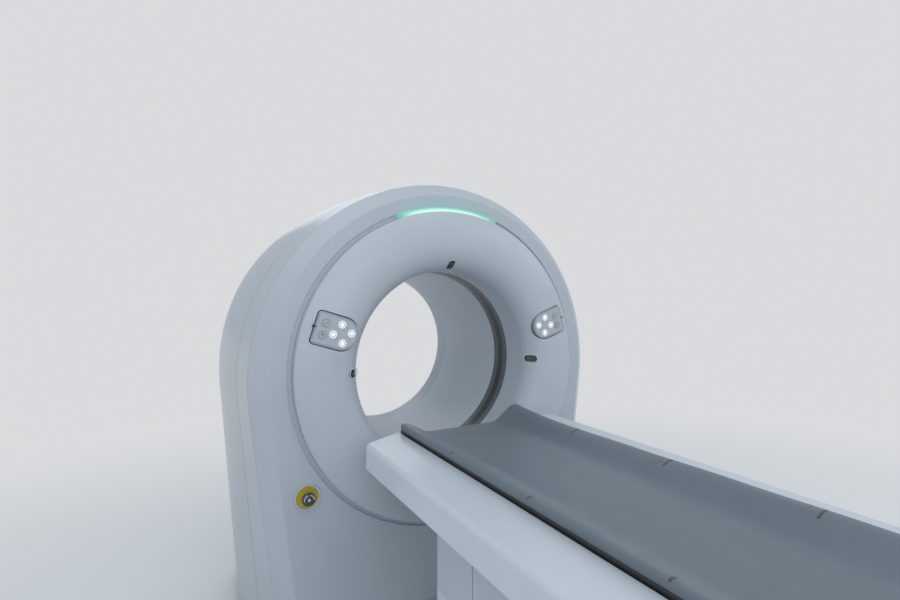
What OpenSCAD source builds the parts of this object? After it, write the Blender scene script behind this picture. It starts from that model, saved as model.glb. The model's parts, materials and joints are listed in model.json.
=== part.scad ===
// CT scanner: a ring gantry on a floor plinth, and a table with a sliding cradle.
// The origin is on the floor below the scan plane; +Y runs into the gantry, +Z is up.

/* [Gantry] */
// Height of the bore axis above the floor
iso_h = 960; // [940:5:990]
// Radius of the patient bore
bore_r = 350; // [346:1:354]
// Wall thickness of the moulded covers
cover_wall = 5; // [4:0.5:6]
// Wall thickness of the bore liner
liner_wall = 4; // [3:0.5:5]
// Height of the plinth that the covers stand on
cover_foot = 20; // [16:1:30]
// Visible seam between two covers
seam = 3; // [2:0.5:4]
// Gap where one piece seats on another
seat_gap = 0.3; // [0.2:0.1:0.5]

/* [Gantry outline] */
// Distance of the front face from the scan plane
face_y = 176; // [172:1:182]
// Depth of the bevel round the front face
bevel_d = 50; // [46:1:54]
// Arch radius of the front face
face_r = 639; // [632:1:646]
// Arch radius behind the bevel
front_r = 694; // [688:1:700]
// How much smaller the arch is at the middle seam than where it is widest
mid_in = 25.5; // [23:0.5:28]
// Arch radius where the gantry is widest
wide_r = 735; // [728:1:742]
// Arch radius of the rear face
back_r = 660; // [650:1:668]
// Distance of the middle seam from the scan plane
mid_y = 21; // [10:1:32]
// Distance of the widest place from the scan plane
wide_y = 315; // [300:5:330]
// Distance of the rear seam from the scan plane
rear_y = 590; // [584:1:596]
// Distance of the rear face from the scan plane
back_y = 651; // [645:1:660]
// Drop of the arch centre below the bore axis on the front face
face_drop = 10; // [5:1:15]
// Drop of the arch centre at the front seams
front_drop = 20; // [16:1:24]
// Drop of the arch centre where the gantry is widest
wide_drop = 40; // [34:1:46]
// Lean of the front sides in degrees
front_lean = 7; // [6:0.5:8]
// Lean of the sides at the middle seam in degrees
mid_lean = 5.4; // [5:0.2:6.4]
// Lean of the sides where the gantry is widest in degrees
wide_lean = 4.5; // [4:0.5:5.5]

/* [Front ring] */
// Radius of the round front panel
ring_r = 567; // [562:1:572]
// Height of the panel's rim over the front face
ring_proud = 23; // [18:1:27]
// Radius of the panel's crown
crown_r = 450; // [440:1:460]
// Height of the crown over the rim
crown_rise = 24; // [20:1:28]
// Depth of the funnel from the crown to the straight bore
funnel_d = 85; // [78:1:92]
// Outer radius of the groove round the panel
groove_r = 585; // [580:1:590]
// Depth of that groove
groove_d = 12; // [8:1:15]
// Half angle of the status light in degrees
light_half = 21; // [15:1:30]
// Half width of the scan window from front to back
window_half = 47; // [42:1:52]
// Length of a laser window
laser_l = 54; // [46:1:58]
// Width of a laser window
laser_w = 27; // [20:1:30]

/* [Front controls] */
// Distance of a control panel's centre from the bore axis
pad_r = 439; // [434:1:444]
// Angle of a control panel above the horizontal in degrees
pad_angle = 18; // [15:1:21]
// Radius of a control panel's round end
pad_round = 54; // [51:1:56]
// Reach of a control panel outward from its centre
pad_reach = 93; // [88:1:96]
// Groove round a control panel
pad_groove = 3; // [2:0.5:4]
// Radius of a panel button
button_r = 14; // [12:0.5:14.5]
// Distance of the arrow buttons from the panel's centre
arrow_r = 30.5; // [29:0.5:32]
// Travel of a panel button
button_travel = 1.2; // [0.8:0.1:1.5]
// Sideways place of the emergency stop
stop_x = 518.5; // [512:0.5:526]
// How far the emergency stop lies below the bore axis
stop_drop = 392; // [380:1:400]
// Radius of the emergency stop's dish
stop_dish_r = 45; // [42:1:48]
// Radius of the emergency stop's head
stop_head_r = 21; // [18:0.5:22]
// Travel of the emergency stop
stop_travel = 5; // [4:0.5:6]

/* [Rotor] */
// Radius of the rotating drum
drum_r = 630; // [624:1:634]
// Thickness of the drum's disc
disc_t = 20; // [16:1:24]
// Distance of the drum's disc from the scan plane
disc_y = 110; // [104:1:116]
// Radius of the x-ray tube's housing
tube_r = 96; // [90:1:100]
// Distance of the focal spot from the bore axis
focus_r = 520; // [514:1:524]
// Distance of the detector from the focal spot
detector_r = 940; // [930:1:950]
// Half angle of the x-ray fan in degrees
fan_half = 24; // [20:1:26]
// Radius of the motor pulley
pulley_r = 45; // [40:1:50]
// Thickness of the drive belt
belt_t = 4; // [3:0.5:5]
// Radius of a cooling fan
vent_r = 56; // [50:1:60]

/* [Cradle] */
// Height of the pad's flat top above the floor
pad_top = 756; // [750:1:760]
// Half width of the pad's flat part
flat_half = 128; // [120:2:140]
// Sideways place of the pad's raised lip
lip_x = 232; // [229:0.5:232.5]
// Height of the lip over the flat part
lip_rise = 40; // [36:1:44]
// Radius of the lip
lip_r = 13; // [12.8:0.1:13.6]
// Thickness of the pad
pad_t = 12; // [10:0.25:12]
// Length of the cradle
cradle_l = 2300; // [2280:5:2360]
// Distance of the cradle's front end from the scan plane
cradle_front = 269; // [266:1:280]
// Travel of the cradle into the bore
cradle_travel = 1500; // [1400:10:1500]
// Tooth size of the cradle's rack
tooth_m = 5; // [4.6:0.1:5.2]

/* [Table] */
// Inner face of a side beam from the middle
beam_in = 240; // [239:0.5:246]
// Outer face of a side beam from the middle
beam_out = 379; // [372:1:386]
// Height of a side beam
beam_h = 77.5; // [74:0.5:80]
// Top of the side beams above the floor
beam_top = 763.5; // [760:0.5:765]
// Slant of a beam's front end
beam_slant = 74; // [60:1:90]
// Edge radius of a side beam
beam_round = 14; // [8:1:20]
// Wall thickness of the table covers
table_wall = 4; // [3:0.5:5]
// Upward travel of the table
lift_up = 120; // [80:5:120]
// Downward travel of the table
lift_down = 270; // [200:5:270]

/* [Pedestal] */
// Half width of the pedestal
ped_half = 330; // [324:1:340]
// Distance of the pedestal's front from the scan plane
ped_front = 712; // [705:1:720]
// Length of the pedestal
ped_l = 1150; // [1120:5:1180]
// Seam of the upper cover behind the pedestal's front
ped_seam = 182; // [150:1:200]
// Height of the fixed cover
base_cover_h = 250; // [240:1:260]
// Height of the cable duct on the floor
duct_h = 110; // [90:1:112]
// Radius of the lifting screw
screw_r = 14; // [12:0.5:16]

/* [Hidden] */

cut = 1;
arc_n = 44;
fn_bore = 120;
fn_part = 48;
fn_rod = 32;
run_gap = 0.05;

// Outline stations: [place along Y, arch radius, drop of the arch centre, lean of the sides]
mid_r = wide_r - mid_in;
front_edge = [-face_y, face_r, face_drop, front_lean];
front_seam = [-face_y + bevel_d, front_r, front_drop, front_lean];
mid_seam = [mid_y, mid_r, front_drop + 2, mid_lean];
back_edge = [back_y, back_r, front_drop, front_lean];

// Station on the straight run between two others
function between(a, b, y) = a + (b - a) * (y - a[0]) / (b[0] - a[0]);
function on_bevel(y) = between(front_edge, front_seam, y);
function on_middle(y) = between(front_seam, mid_seam, y);

// Station on the long side shell, which swells to its widest place and falls in again
function on_shell(y) =
  let (k = pow((wide_y - y) / (wide_y - mid_y), 2))
  [y, wide_r - k * (wide_r - mid_r), wide_drop - k * (wide_drop - mid_seam[2]),
   wide_lean + k * (mid_lean - wide_lean)];
rear_seam = on_shell(rear_y);
function on_back(y) = between(rear_seam, back_edge, y);

// Half width of an outline at a height above the floor, on its leaning sides
function half_width(s, z, inset = 0) =
  (s[1] - inset) * cos(s[3]) - (iso_h - s[2] - (s[1] - inset) * sin(s[3]) - z) * tan(s[3]);

// Points of an outline: an arch whose sides lean in towards the floor, with a point half-way up each side
outline_n = arc_n + 5;
function outline(s, inset, foot) =
  let (r = s[1] - inset, zc = iso_h - s[2], lean = s[3], side = [half_width(s, foot, inset), foot],
    mid = (side + [r * cos(lean), zc - r * sin(lean)]) / 2)
  concat(
    [[side[0], s[0], foot], [mid[0], s[0], mid[1]]],
    [for (i = [0:arc_n]) let (a = -lean + (180 + 2 * lean) * i / arc_n)
      [r * cos(a), s[0], zc + r * sin(a)]],
    [[-mid[0], s[0], mid[1]], [-side[0], s[0], foot]]);
function reversed(list) = [for (i = [len(list) - 1:-1:0]) list[i]];

// Solid through a row of rings with equal counts of points; a band of the given pairs closes each end.
// The left half's triangles mirror the right half's, so both sides match
module loft(rings, pairs) {
  n = len(rings[0]);
  last = (len(rings) - 1) * n;
  sides = [for (k = [0:n:last - n], i = [0:n - 1]) let (j = (i + 1) % n)
    each (i % outline_n < outline_n / 2 - 1
      ? [[k + i, k + j, k + n + j], [k + i, k + n + j, k + n + i]]
      : [[k + i, k + j, k + n + i], [k + j, k + n + j, k + n + i]])];
  ends = [for (i = [0:len(pairs) - 2]) let (a = pairs[i], b = pairs[i + 1])
    each [[a[0], a[1], b[1]], if (b[0] != b[1]) [a[0], b[1], b[0]]]];
  polyhedron(points = [for (r = rings) each r],
    faces = concat(sides, ends, [for (t = ends) [last + t[2], last + t[1], last + t[0]]]));
}

// Cup of a cover: outside rings back, then inside rings forward, each ring as [station, inset].
// The rings run past the foot and are trimmed there
module cup(outside, inside) {
  n = outline_n;
  outer = [for (e = outside) outline(e[0], e[1], cover_foot - 110)];
  inner = [for (e = inside) outline(e[0], e[1], cover_foot - 100)];
  difference() {
    loft(concat(outer, inner), [for (i = [0:floor(n / 2)]) [i, n - 1 - i]]);
    block([-wide_r, -face_y - lap, cover_foot - 120], [wide_r, back_y + lap, cover_foot]);
  }
}

// Solid body of a cover along a list of stations
module body(stations, inset = 0, foot = cover_foot) {
  n = outline_n;
  loft([for (s = stations) outline(s, inset, foot)], [for (i = [0:floor(n / 2)]) [i, n - 1 - i]]);
}

// Wall of a cover; each entry is [station, outer inset, inner inset]
module wall(entries) {
  n = outline_n;
  loft([for (e = entries) concat(outline(e[0], e[1], cover_foot), reversed(outline(e[0], e[2], cover_foot)))],
    [for (i = [0:n - 1]) [i, 2 * n - 1 - i]]);
}

// Insets of the flange that laps under the next cover
lap = 12;
lap_gap = 0.6;
lap_out = cover_wall + lap_gap;
lap_in = lap_out + 3;

// Turns a drawn profile of [radius, place along Y] about the bore axis
module about_bore() {
  translate([0, 0, iso_h]) rotate([-90, 0, 0]) rotate_extrude($fn = fn_bore) children();
}

// Turns a profile through part of a circle, with angles from +X up
module bore_arc(from, to) {
  translate([0, 0, iso_h]) rotate([-90, 0, 0]) rotate([0, 0, -to])
    rotate_extrude(angle = to - from, $fn = fn_bore) children();
}
module bore_tube(r_in, r_out, y0, y1) {
  about_bore() translate([r_in, y0]) square([r_out - r_in, y1 - y0]);
}
module bore_disc(r, y0, y1) {
  translate([0, y0, iso_h]) rotate([-90, 0, 0]) cylinder(r = r, h = y1 - y0, $fn = fn_bore);
}

// Places children on a ray from the bore axis, with X outward and Z round the bore
module on_ray(angle) {
  translate([0, 0, iso_h]) rotate([0, -angle, 0]) children();
}

// Rod, turned profile, block and drawn section, each along or about Y
module rod_y(x, z, r, y0, y1, fn = fn_rod) {
  translate([x, y0, z]) rotate([-90, 0, 0]) cylinder(r = r, h = y1 - y0, $fn = fn);
}
module about_y(x, z, fn = fn_part) {
  translate([x, 0, z]) rotate([-90, 0, 0]) rotate_extrude($fn = fn) children();
}
module block(low, high) {
  translate(low) cube(high - low);
}
module along_y(y0, y1) {
  translate([0, y1, 0]) rotate([90, 0, 0]) linear_extrude(y1 - y0) children();
}
module both_sides() {
  children();
  mirror([1, 0, 0]) children();
}
module on_side(side) {
  mirror([side < 0 ? 1 : 0, 0, 0]) children();
}

// Rounded rectangle from a low to a high corner
module rounded(low, high, r) {
  translate([low[0] + r, low[1]]) square([high[0] - low[0] - 2 * r, high[1] - low[1]]);
  translate([low[0], low[1] + r]) square([high[0] - low[0], high[1] - low[1] - 2 * r]);
  for (x = [low[0] + r, high[0] - r], y = [low[1] + r, high[1] - r])
    translate([x, y]) circle(r = r, $fn = fn_rod);
}

// Front panel: funnel, crown, brow and rounded rim
rim_y = -face_y - ring_proud;
crown_y = rim_y - crown_rise;
bore_start = crown_y + funnel_d;
crown_w = crown_r - bore_r;
rim_round = cover_wall + 1;
rim_turn = atan(2 * crown_rise / (ring_r - crown_r));
groove_floor = -face_y + groove_d;
floor_t = 4;
ring_back = groove_floor + floor_t + 10;
bore_seam = 0.6;

// Points of the front surface at a depth below it
function funnel(depth) = [for (i = [0:14]) let (a = 90 * i / 14)
  [bore_r + depth + (crown_w - depth) * (1 - cos(a)), bore_start - (funnel_d - depth) * sin(a)]];
function rim(depth) = [for (i = [0:4]) let (a = rim_turn + (90 - rim_turn) * i / 4)
  [ring_r - rim_round + (rim_round - depth) * sin(a),
   rim_y + rim_round * cos(rim_turn) - (rim_round - depth) * cos(a)]];
function brow(depth) = [for (i = [1:7]) let (k = i / 8)
  [crown_r + (rim(depth)[0][0] - crown_r) * k, crown_y + depth + (rim(depth)[0][1] - crown_y - depth) * k * k]];
function front_surface(depth) = concat(funnel(depth), brow(depth), rim(depth));

// Control panels: a round end towards the bore and two rounded corners outward
pad_sink = 4;
pad_face = crown_y + pad_sink;
pad_depth = 54;
well_floor = pad_face + pad_depth;
well_wall = 3;
ledge = 8;
pad_corner = 12;
pad_step = 5;
face_t = 4;
notch = [12, 6];
module pad_shape(grow) {
  r = pad_round + grow;
  c = pad_corner + grow;
  circle(r = r, $fn = fn_part);
  translate([0, -r]) square([pad_reach + grow - c, 2 * r]);
  translate([0, c - r]) square([pad_reach + grow, 2 * (r - c)]);
  for (t = [-1, 1]) translate([pad_reach + grow - c, t * (r - c)]) circle(r = c, $fn = fn_rod);
}
module on_pad(y0, y1) {
  on_ray(pad_angle) translate([pad_r, y1, 0]) rotate([90, 0, 0]) linear_extrude(y1 - y0) children();
}

// Places of the six buttons: four upright arrows, then two keys on the outer side
arrow_dirs = [[0, 1], [0, -1], [-1, 0], [1, 0]];
key_out = 61.4;
key_t = 19.8;
function spot(k) = k > 3 ? [key_out, k == 4 ? key_t : -key_t]
  : let (d = arrow_dirs[k] * arrow_r)
    [d[0] * cos(pad_angle) + d[1] * sin(pad_angle), d[1] * cos(pad_angle) - d[0] * sin(pad_angle)];

// Laser windows lie in the funnel, left, right and on top
laser_turn = 36.5;
laser_tilt = atan2(crown_w * sin(laser_turn), funnel_d * cos(laser_turn));
laser_at = [bore_r + crown_w * (1 - cos(laser_turn)), bore_start - funnel_d * sin(laser_turn)];
module laser_slot(fit) {
  w = laser_w / 2 - fit;
  for (a = [0, 90, 180])
    on_ray(a) translate([laser_at[0], laser_at[1], 0]) rotate([0, 0, laser_tilt]) rotate([0, -90, 0])
      translate([0, 0, -20]) linear_extrude(40) {
        for (t = [-1, 1]) translate([0, t * (laser_l - laser_w) / 2]) circle(r = w, $fn = fn_rod);
        translate([-w, -(laser_l - laser_w) / 2]) square([2 * w, laser_l - laser_w]);
      }
}

// Emergency stop, with depths measured inward from the front face
stop_z = iso_h - stop_drop;
stop_floor = 4;
stop_out = 23;
stop_stem_r = 8;
stop_hole_r = stop_dish_r - 4;

module front_cover() {
  color("whitesmoke") difference() {
    union() {
      cup([
        [front_edge, 0], [front_seam, 0], [front_seam, lap_out], [on_middle(front_seam[0] + lap), lap_out]],
        [[on_middle(front_seam[0] + lap), lap_in], [front_seam, lap_in], [on_bevel(front_seam[0] - lap), lap_in],
        [on_bevel(front_seam[0] - lap - cover_wall), cover_wall], [on_bevel(-face_y + cover_wall), cover_wall]]);
      bore_disc(groove_r + floor_t, -face_y + cut, groove_floor + floor_t);
    }
    bore_disc(groove_r, -face_y - cut, groove_floor);
    bore_disc(ring_r + seat_gap, groove_floor - cut, groove_floor + floor_t + cut);
    rod_y(-stop_x, stop_z, stop_hole_r + seat_gap, -face_y - cut, -face_y + cover_wall + cut, fn_part);
  }
}

module ring_panel() {
  color("white") difference() {
    union() {
      about_bore() polygon(concat(
        [[bore_r, -window_half - bore_seam]],
        front_surface(0),
        [[ring_r, ring_back], [ring_r - cover_wall, ring_back]],
        reversed(front_surface(cover_wall)),
        [[bore_r + liner_wall, bore_start + 2 * cover_wall],
         [bore_r + liner_wall, -window_half - bore_seam]]));
      intersection() {
        about_bore() polygon(concat(
          [[bore_r + cut, well_floor + well_wall]],
          front_surface(cut),
          [[ring_r - cut, well_floor + well_wall]]));
        both_sides() on_pad(crown_y - cut, well_floor + well_wall) pad_shape(pad_groove + well_wall);
      }
    }
    both_sides() {
      on_pad(crown_y - cut, well_floor) pad_shape(pad_groove);
      on_pad(well_floor - cut, well_floor + well_wall + cut) pad_shape(-ledge);
      on_pad(crown_y - cut, pad_face + notch[0]) translate([pad_reach, -notch[1]]) square([8, 2 * notch[1]]);
    }
    laser_slot(0);
  }
}

module laser_windows() {
  color("black") intersection() {
    laser_slot(seat_gap);
    about_bore() polygon(concat(funnel(0.6), reversed(funnel(cover_wall))));
  }
}

module status_light() {
  color("limegreen") bore_arc(90 - light_half, 90 + light_half)
    translate([ring_r + seat_gap, -face_y])
    square([groove_r - ring_r - 2 * seat_gap, groove_d - seat_gap]);
}

module middle_cover() {
  color("whitesmoke") wall([
    [on_middle(front_seam[0] + seam), 0, cover_wall],
    [on_middle(front_seam[0] + lap + 1), 0, cover_wall],
    [on_middle(mid_y - lap - cover_wall), 0, cover_wall],
    [on_middle(mid_y - lap), 0, lap_in],
    [on_middle(mid_y - seat_gap), 0, lap_in],
    [on_shell(mid_y), lap_out, lap_in],
    [on_shell(mid_y + lap), lap_out, lap_in]]);
}

module outer_shell() {
  from = mid_y + lap + 1;
  to = rear_y - lap - 1;
  ys = concat([mid_y + seam], [for (i = [0:7]) from + (to - from) * i / 7], [rear_y]);
  color("whitesmoke") wall([for (y = ys) [on_shell(y), 0, cover_wall]]);
}

// Rear panel: round opening, louvres and two fans in moulded shrouds
tail_y = 595;
tail_r = bore_r + 3;
tail_flare = 95;
tail_rim = tail_r + tail_flare + 22;
tail_proud = 9;
vent_x = 450;
vent_z = 250;
vent_gap = 2;
vent_t = 26;
pin_r = 4;
louvre = [130, 8];
louvre_pitch = 22;
louvre_n = 9;
module rear_cover() {
  color("whitesmoke") {
    difference() {
      union() {
        difference() {
          body([on_back(rear_y + seam), back_edge]);
          body([on_back(rear_y + seam - cut), on_back(back_y - cover_wall)], cover_wall, cover_foot - cut);
        }
        wall([
          [on_shell(rear_y - lap), lap_out, lap_in],
          [on_shell(rear_y + seam - cut), lap_out, lap_in],
          [on_back(rear_y + seam), cover_wall - cut, lap_in],
          [on_back(rear_y + seam + lap), cover_wall - cut, lap_in]]);
        both_sides() rod_y(vent_x, vent_z, vent_r + vent_gap + 4, back_y - 45, back_y - cut, fn_part);
      }
      bore_disc(tail_rim + seat_gap, back_y - 60, back_y + cut);
      both_sides() {
        rod_y(vent_x, vent_z, vent_r + vent_gap, back_y - 60, back_y + cut, fn_part);
        for (i = [0:louvre_n - 1])
          block([vent_x - 30, back_y - 20, 400 + i * louvre_pitch],
            [vent_x - 30 + louvre[0], back_y + cut, 400 + i * louvre_pitch + louvre[1]]);
      }
    }
    both_sides() {
      for (a = [0, 60, 120])
        translate([vent_x, 0, vent_z]) rotate([0, a, 0])
          block([-vent_r - vent_gap - cut, back_y - 8, -3], [vent_r + vent_gap + cut, back_y - 1, 3]);
      rod_y(vent_x, vent_z, 17, back_y - 8, back_y - 1);
      for (r = [29, 43])
        about_y(vent_x, vent_z) translate([r, back_y - 6]) square([3, 5]);
      rod_y(vent_x, vent_z, pin_r, back_y - 8 - vent_t - 4, back_y - 7);
    }
  }
}

module rear_funnel() {
  flare = function (d) [for (i = [0:10]) let (a = 90 * i / 10)
    [tail_r + d + (tail_flare - d) * (1 - cos(a)), tail_y + (back_y + tail_proud - tail_y - d) * sin(a)]];
  liner_end = tail_y - 80;
  color("white") about_bore() polygon(concat(
    [[bore_r, liner_end]],
    flare(0),
    [[tail_rim - 4, back_y + tail_proud - 1], [tail_rim, back_y + tail_proud - 5],
     [tail_rim, back_y - 12], [tail_rim - liner_wall, back_y - 12],
     [tail_rim - liner_wall, back_y + tail_proud - 6]],
    reversed(flare(liner_wall)),
    [[bore_r + liner_wall + 4, liner_end - lap],
     [bore_r + liner_wall + seat_gap, liner_end - lap],
     [bore_r + liner_wall + seat_gap, liner_end]]));
}

// Bore liner in two halves, seated in the window band and the rear funnel
liner_y = [window_half + bore_seam, tail_y - 80 - bore_seam];
module bore_liner(side) {
  intersection() {
    bore_tube(bore_r, bore_r + liner_wall, liner_y[0], liner_y[1]);
    translate([0, 0, iso_h]) mirror([0, 0, side < 0 ? 1 : 0])
      block([-bore_r - 20, 0, bore_seam / 2], [bore_r + 20, back_y, bore_r + 20]);
  }
}
module bore_liner_upper() {
  color("white") bore_liner(1);
}
module bore_liner_lower() {
  color("white") bore_liner(-1);
}

module scan_window() {
  w = window_half;
  r = bore_r + liner_wall + seat_gap;
  color("gainsboro") about_bore() polygon([
    [bore_r, -w], [bore_r, w], [r, w], [r, w + lap], [r + 2.5, w + lap],
    [r + 2.5, -w - lap], [r, -w - lap], [r, -w]]);
}

module control_panel(side) {
  on_side(side) {
    difference() {
      union() {
        on_pad(pad_face, pad_face + cut) pad_shape(-pad_step);
        on_pad(pad_face + cut, well_floor - seat_gap) pad_shape(0);
      }
      on_pad(pad_face + face_t, well_floor + cut) pad_shape(-face_t);
      for (k = [0:5])
        on_pad(pad_face - cut, pad_face + face_t + cut) translate(spot(k)) circle(r = button_r + seat_gap, $fn = fn_rod);
    }
    on_pad(board_y, board_y + 2) pad_shape(-face_t + cut);
  }
}
board_y = pad_face + 16;
module control_panel_left() {
  color("gainsboro") control_panel(-1);
}
module control_panel_right() {
  color("gainsboro") control_panel(1);
}

// Panel button: a cap, a flange behind the panel and a stem over the switch board
cap_proud = 2;
module button(side, k) {
  s = spot(k);
  flange_y = pad_face + face_t + seat_gap;
  on_side(side) on_ray(pad_angle) translate([pad_r + s[0], 0, s[1]]) rotate([-90, 0, 0])
    rotate_extrude($fn = fn_rod) polygon([
      [0, pad_face - cap_proud], [button_r - 1, pad_face - cap_proud], [button_r, pad_face - cap_proud + 1],
      [button_r, flange_y], [button_r + 1.5, flange_y], [button_r + 1.5, flange_y + 2],
      [5, flange_y + 2], [5, board_y - button_travel - seat_gap], [0, board_y - button_travel - seat_gap]]);
}
module left_button_up() {
  color("palegreen") button(-1, 0);
}
module left_button_down() {
  color("palegreen") button(-1, 1);
}
module left_button_in() {
  color("palegreen") button(-1, 2);
}
module left_button_out() {
  color("palegreen") button(-1, 3);
}
module left_button_confirm() {
  color("gainsboro") button(-1, 4);
}
module left_button_light() {
  color("gainsboro") button(-1, 5);
}
module right_button_up() {
  color("palegreen") button(1, 0);
}
module right_button_down() {
  color("palegreen") button(1, 1);
}
module right_button_in() {
  color("palegreen") button(1, 2);
}
module right_button_out() {
  color("palegreen") button(1, 3);
}
module right_button_confirm() {
  color("gainsboro") button(1, 4);
}
module right_button_light() {
  color("gainsboro") button(1, 5);
}

module estop_dish() {
  bush = stop_floor + 2;
  bush_end = bush + 6;
  ring_y = bush_end + seat_gap;
  cap = ring_y + 14 + stop_travel;
  color("goldenrod") translate([0, -face_y, 0]) about_y(-stop_x, stop_z) polygon([
    [stop_stem_r + run_gap, stop_floor - 1], [stop_dish_r - 10, stop_floor - 1], [stop_dish_r - 10, stop_floor],
    [stop_hole_r - 3, stop_floor], [stop_dish_r - 6, -2 - seat_gap], [stop_dish_r - 1, -2 - seat_gap],
    [stop_dish_r, -1 - seat_gap], [stop_dish_r, -seat_gap], [stop_hole_r, -seat_gap], [stop_hole_r, bush],
    [18, bush], [18, cap + 3], [0, cap + 3], [0, cap], [14, cap], [14, bush_end],
    [stop_stem_r + run_gap, bush_end]]);
}

module estop_head() {
  h = stop_floor - stop_out - 4;
  ring_y = stop_floor + 8 + seat_gap;
  color("dimgray") translate([0, -face_y, 0]) about_y(-stop_x, stop_z) polygon([
    [0, h], [stop_head_r - 6, h], [stop_head_r - 2, h + 1.5], [stop_head_r, h + 5], [stop_head_r, h + 10],
    [stop_head_r - 5, h + 13], [stop_stem_r, h + 14], [stop_stem_r, ring_y], [stop_stem_r + 3, ring_y],
    [stop_stem_r + 3, ring_y + 2], [stop_stem_r, ring_y + 2], [stop_stem_r, ring_y + 8], [0, ring_y + 8]]);
}

// Rotor: hub on a slewing bearing, disc with a belt rim, and what the disc carries
hub_in = bore_r + liner_wall + 12;
hub_out = hub_in + 34;
race_r = hub_out + 25;
race_out = race_r + 33;
race_y = 240;
frame_y = 250;
frame_t = 30;
hub_back = frame_y + frame_t + 9;
rim_t = 14;
rim_w = 58;
mount_y = disc_y - seat_gap;
module rotor_drum() {
  color("steelblue") difference() {
    about_bore() polygon([
      [hub_in, disc_y], [drum_r, disc_y], [drum_r, disc_y + rim_w], [drum_r - rim_t, disc_y + rim_w],
      [drum_r - rim_t, disc_y + disc_t], [hub_out, disc_y + disc_t], [hub_out, race_y - 4],
      [race_r, race_y - 4], [race_r, hub_back], [hub_in, hub_back]]);
    for (a = [15:30:345])
      on_ray(a) rod_y(drum_r - 60, 0, 30, disc_y - cut, disc_y + disc_t + cut);
    for (a = [10:20:350])
      on_ray(a) rod_y(hub_out + 12, 0, 6, disc_y - cut, disc_y + disc_t + cut);
  }
}

module slip_ring() {
  y = hub_back + seat_gap;
  tracks = [for (i = [0:4]) hub_out + 40 + i * 22];
  color("peru") difference() {
    bore_tube(hub_in, hub_in + 174, y, y + 40);
    for (r = tracks)
      bore_tube(r, r + 8, y + 36, y + 41);
  }
}

module xray_tube() {
  z = iso_h + focus_r;
  box = tube_r - 14;
  color("silver") difference() {
    union() {
      about_y(0, z) polygon([
        [0, -95], [tube_r - 30, -95], [tube_r - 14, -84], [tube_r, -70], [tube_r, 60], [tube_r - 10, 60],
        [tube_r - 10, 78], [tube_r - 4, 78], [tube_r - 4, mount_y], [0, mount_y]]);
      block([-110, mount_y - 14, z - 106], [110, mount_y, z + tube_r - 4]);
      block([-box, -48, z - tube_r - 44], [box, 48, z - 40]);
      for (y = [-50, -25, 0, 25])
        about_y(0, z) translate([tube_r - 2, y]) square([6, 6]);
    }
    block([-box + 12, -20, z - tube_r - 45], [box - 12, 20, z - tube_r - 20]);
  }
}

module hv_generator() {
  color("darkslategray") on_ray(150) difference() {
    union() {
      block([424, -88, -116], [596, mount_y, 116]);
      block([440, -94, -96], [580, -87, 96]);
      for (t = [-80:40:80])
        block([595, -70, t - 6], [602, mount_y - 20, t + 6]);
    }
    for (t = [-70, 70])
      rod_y(460, t, 12, -95, -80);
  }
}

module heat_exchanger() {
  color("lightslategray") on_ray(30) difference() {
    block([430, -78, -112], [598, mount_y, 112]);
    for (t = [-90:20:90])
      block([444, -79, t - 4], [584, 60, t + 4]);
    rod_y(514, 0, 48, 72, 96);
  }
}

// Detector: an arc about the focal spot, with its electronics behind it
module detector_arc() {
  color("slategray") translate([0, 0, iso_h + focus_r]) {
    rotate([-90, 0, 0]) rotate([0, 0, 90 - fan_half]) rotate_extrude(angle = 2 * fan_half, $fn = fn_bore) {
      translate([detector_r, -60]) square([60, 120 + mount_y - 60]);
      translate([detector_r - 12, -60]) square([14, 12]);
      translate([detector_r - 12, 48]) square([14, 12]);
    }
    for (i = [-5:5])
      rotate([0, -i * (2 * fan_half - 4) / 11, 0])
        block([-26, -50, -detector_r - 86], [26, 80, -detector_r - 58]);
  }
}

// Fixed frame: a ring plate on two legs that carries the bearing and the motor
motor = [480, iso_h - 630];
motor_r = 70;
rail_top = cover_foot + 40;
module bearing_race() {
  color("gray") about_bore() polygon([
    [race_r + seat_gap, race_y], [race_out + 22, race_y - 8], [race_out + 22, frame_y - seat_gap],
    [race_out, frame_y - seat_gap], [race_out, race_y + 45], [race_r + seat_gap, race_y + 45]]);
}

module main_frame() {
  low = rail_top + seat_gap;
  color("lightsteelblue") {
    difference() {
      along_y(frame_y, frame_y + frame_t) {
        translate([0, iso_h]) circle(r = 600, $fn = fn_bore);
        polygon([[-590, low], [590, low], [560, iso_h - 60], [-560, iso_h - 60]]);
      }
      bore_disc(race_out + seat_gap, frame_y - cut, frame_y + frame_t + cut);
      along_y(frame_y - cut, frame_y + frame_t + cut)
        polygon([[-350, low + 20], [350, low + 20], [270, iso_h - 640], [-270, iso_h - 640]]);
      rod_y(motor[0], motor[1], motor_r + 1, frame_y - cut, frame_y + frame_t + cut, fn_part);
      for (a = [20:40:340])
        on_ray(a) rod_y(560, 0, 9, frame_y - cut, frame_y + frame_t + cut);
    }
    both_sides() difference() {
      block([360, frame_y - 35, low], [580, frame_y + frame_t + 35, low + 16]);
      for (x = [390, 550], y = [frame_y - 18, frame_y + frame_t + 18])
        translate([x, y, low - cut]) cylinder(r = 8, h = 20, $fn = fn_rod);
    }
    both_sides() along_y(frame_y - 30, frame_y + cut)
      polygon([[455, low + 15], [470, low + 15], [470, low + 120], [455, low + 140]]);
  }
}

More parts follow.
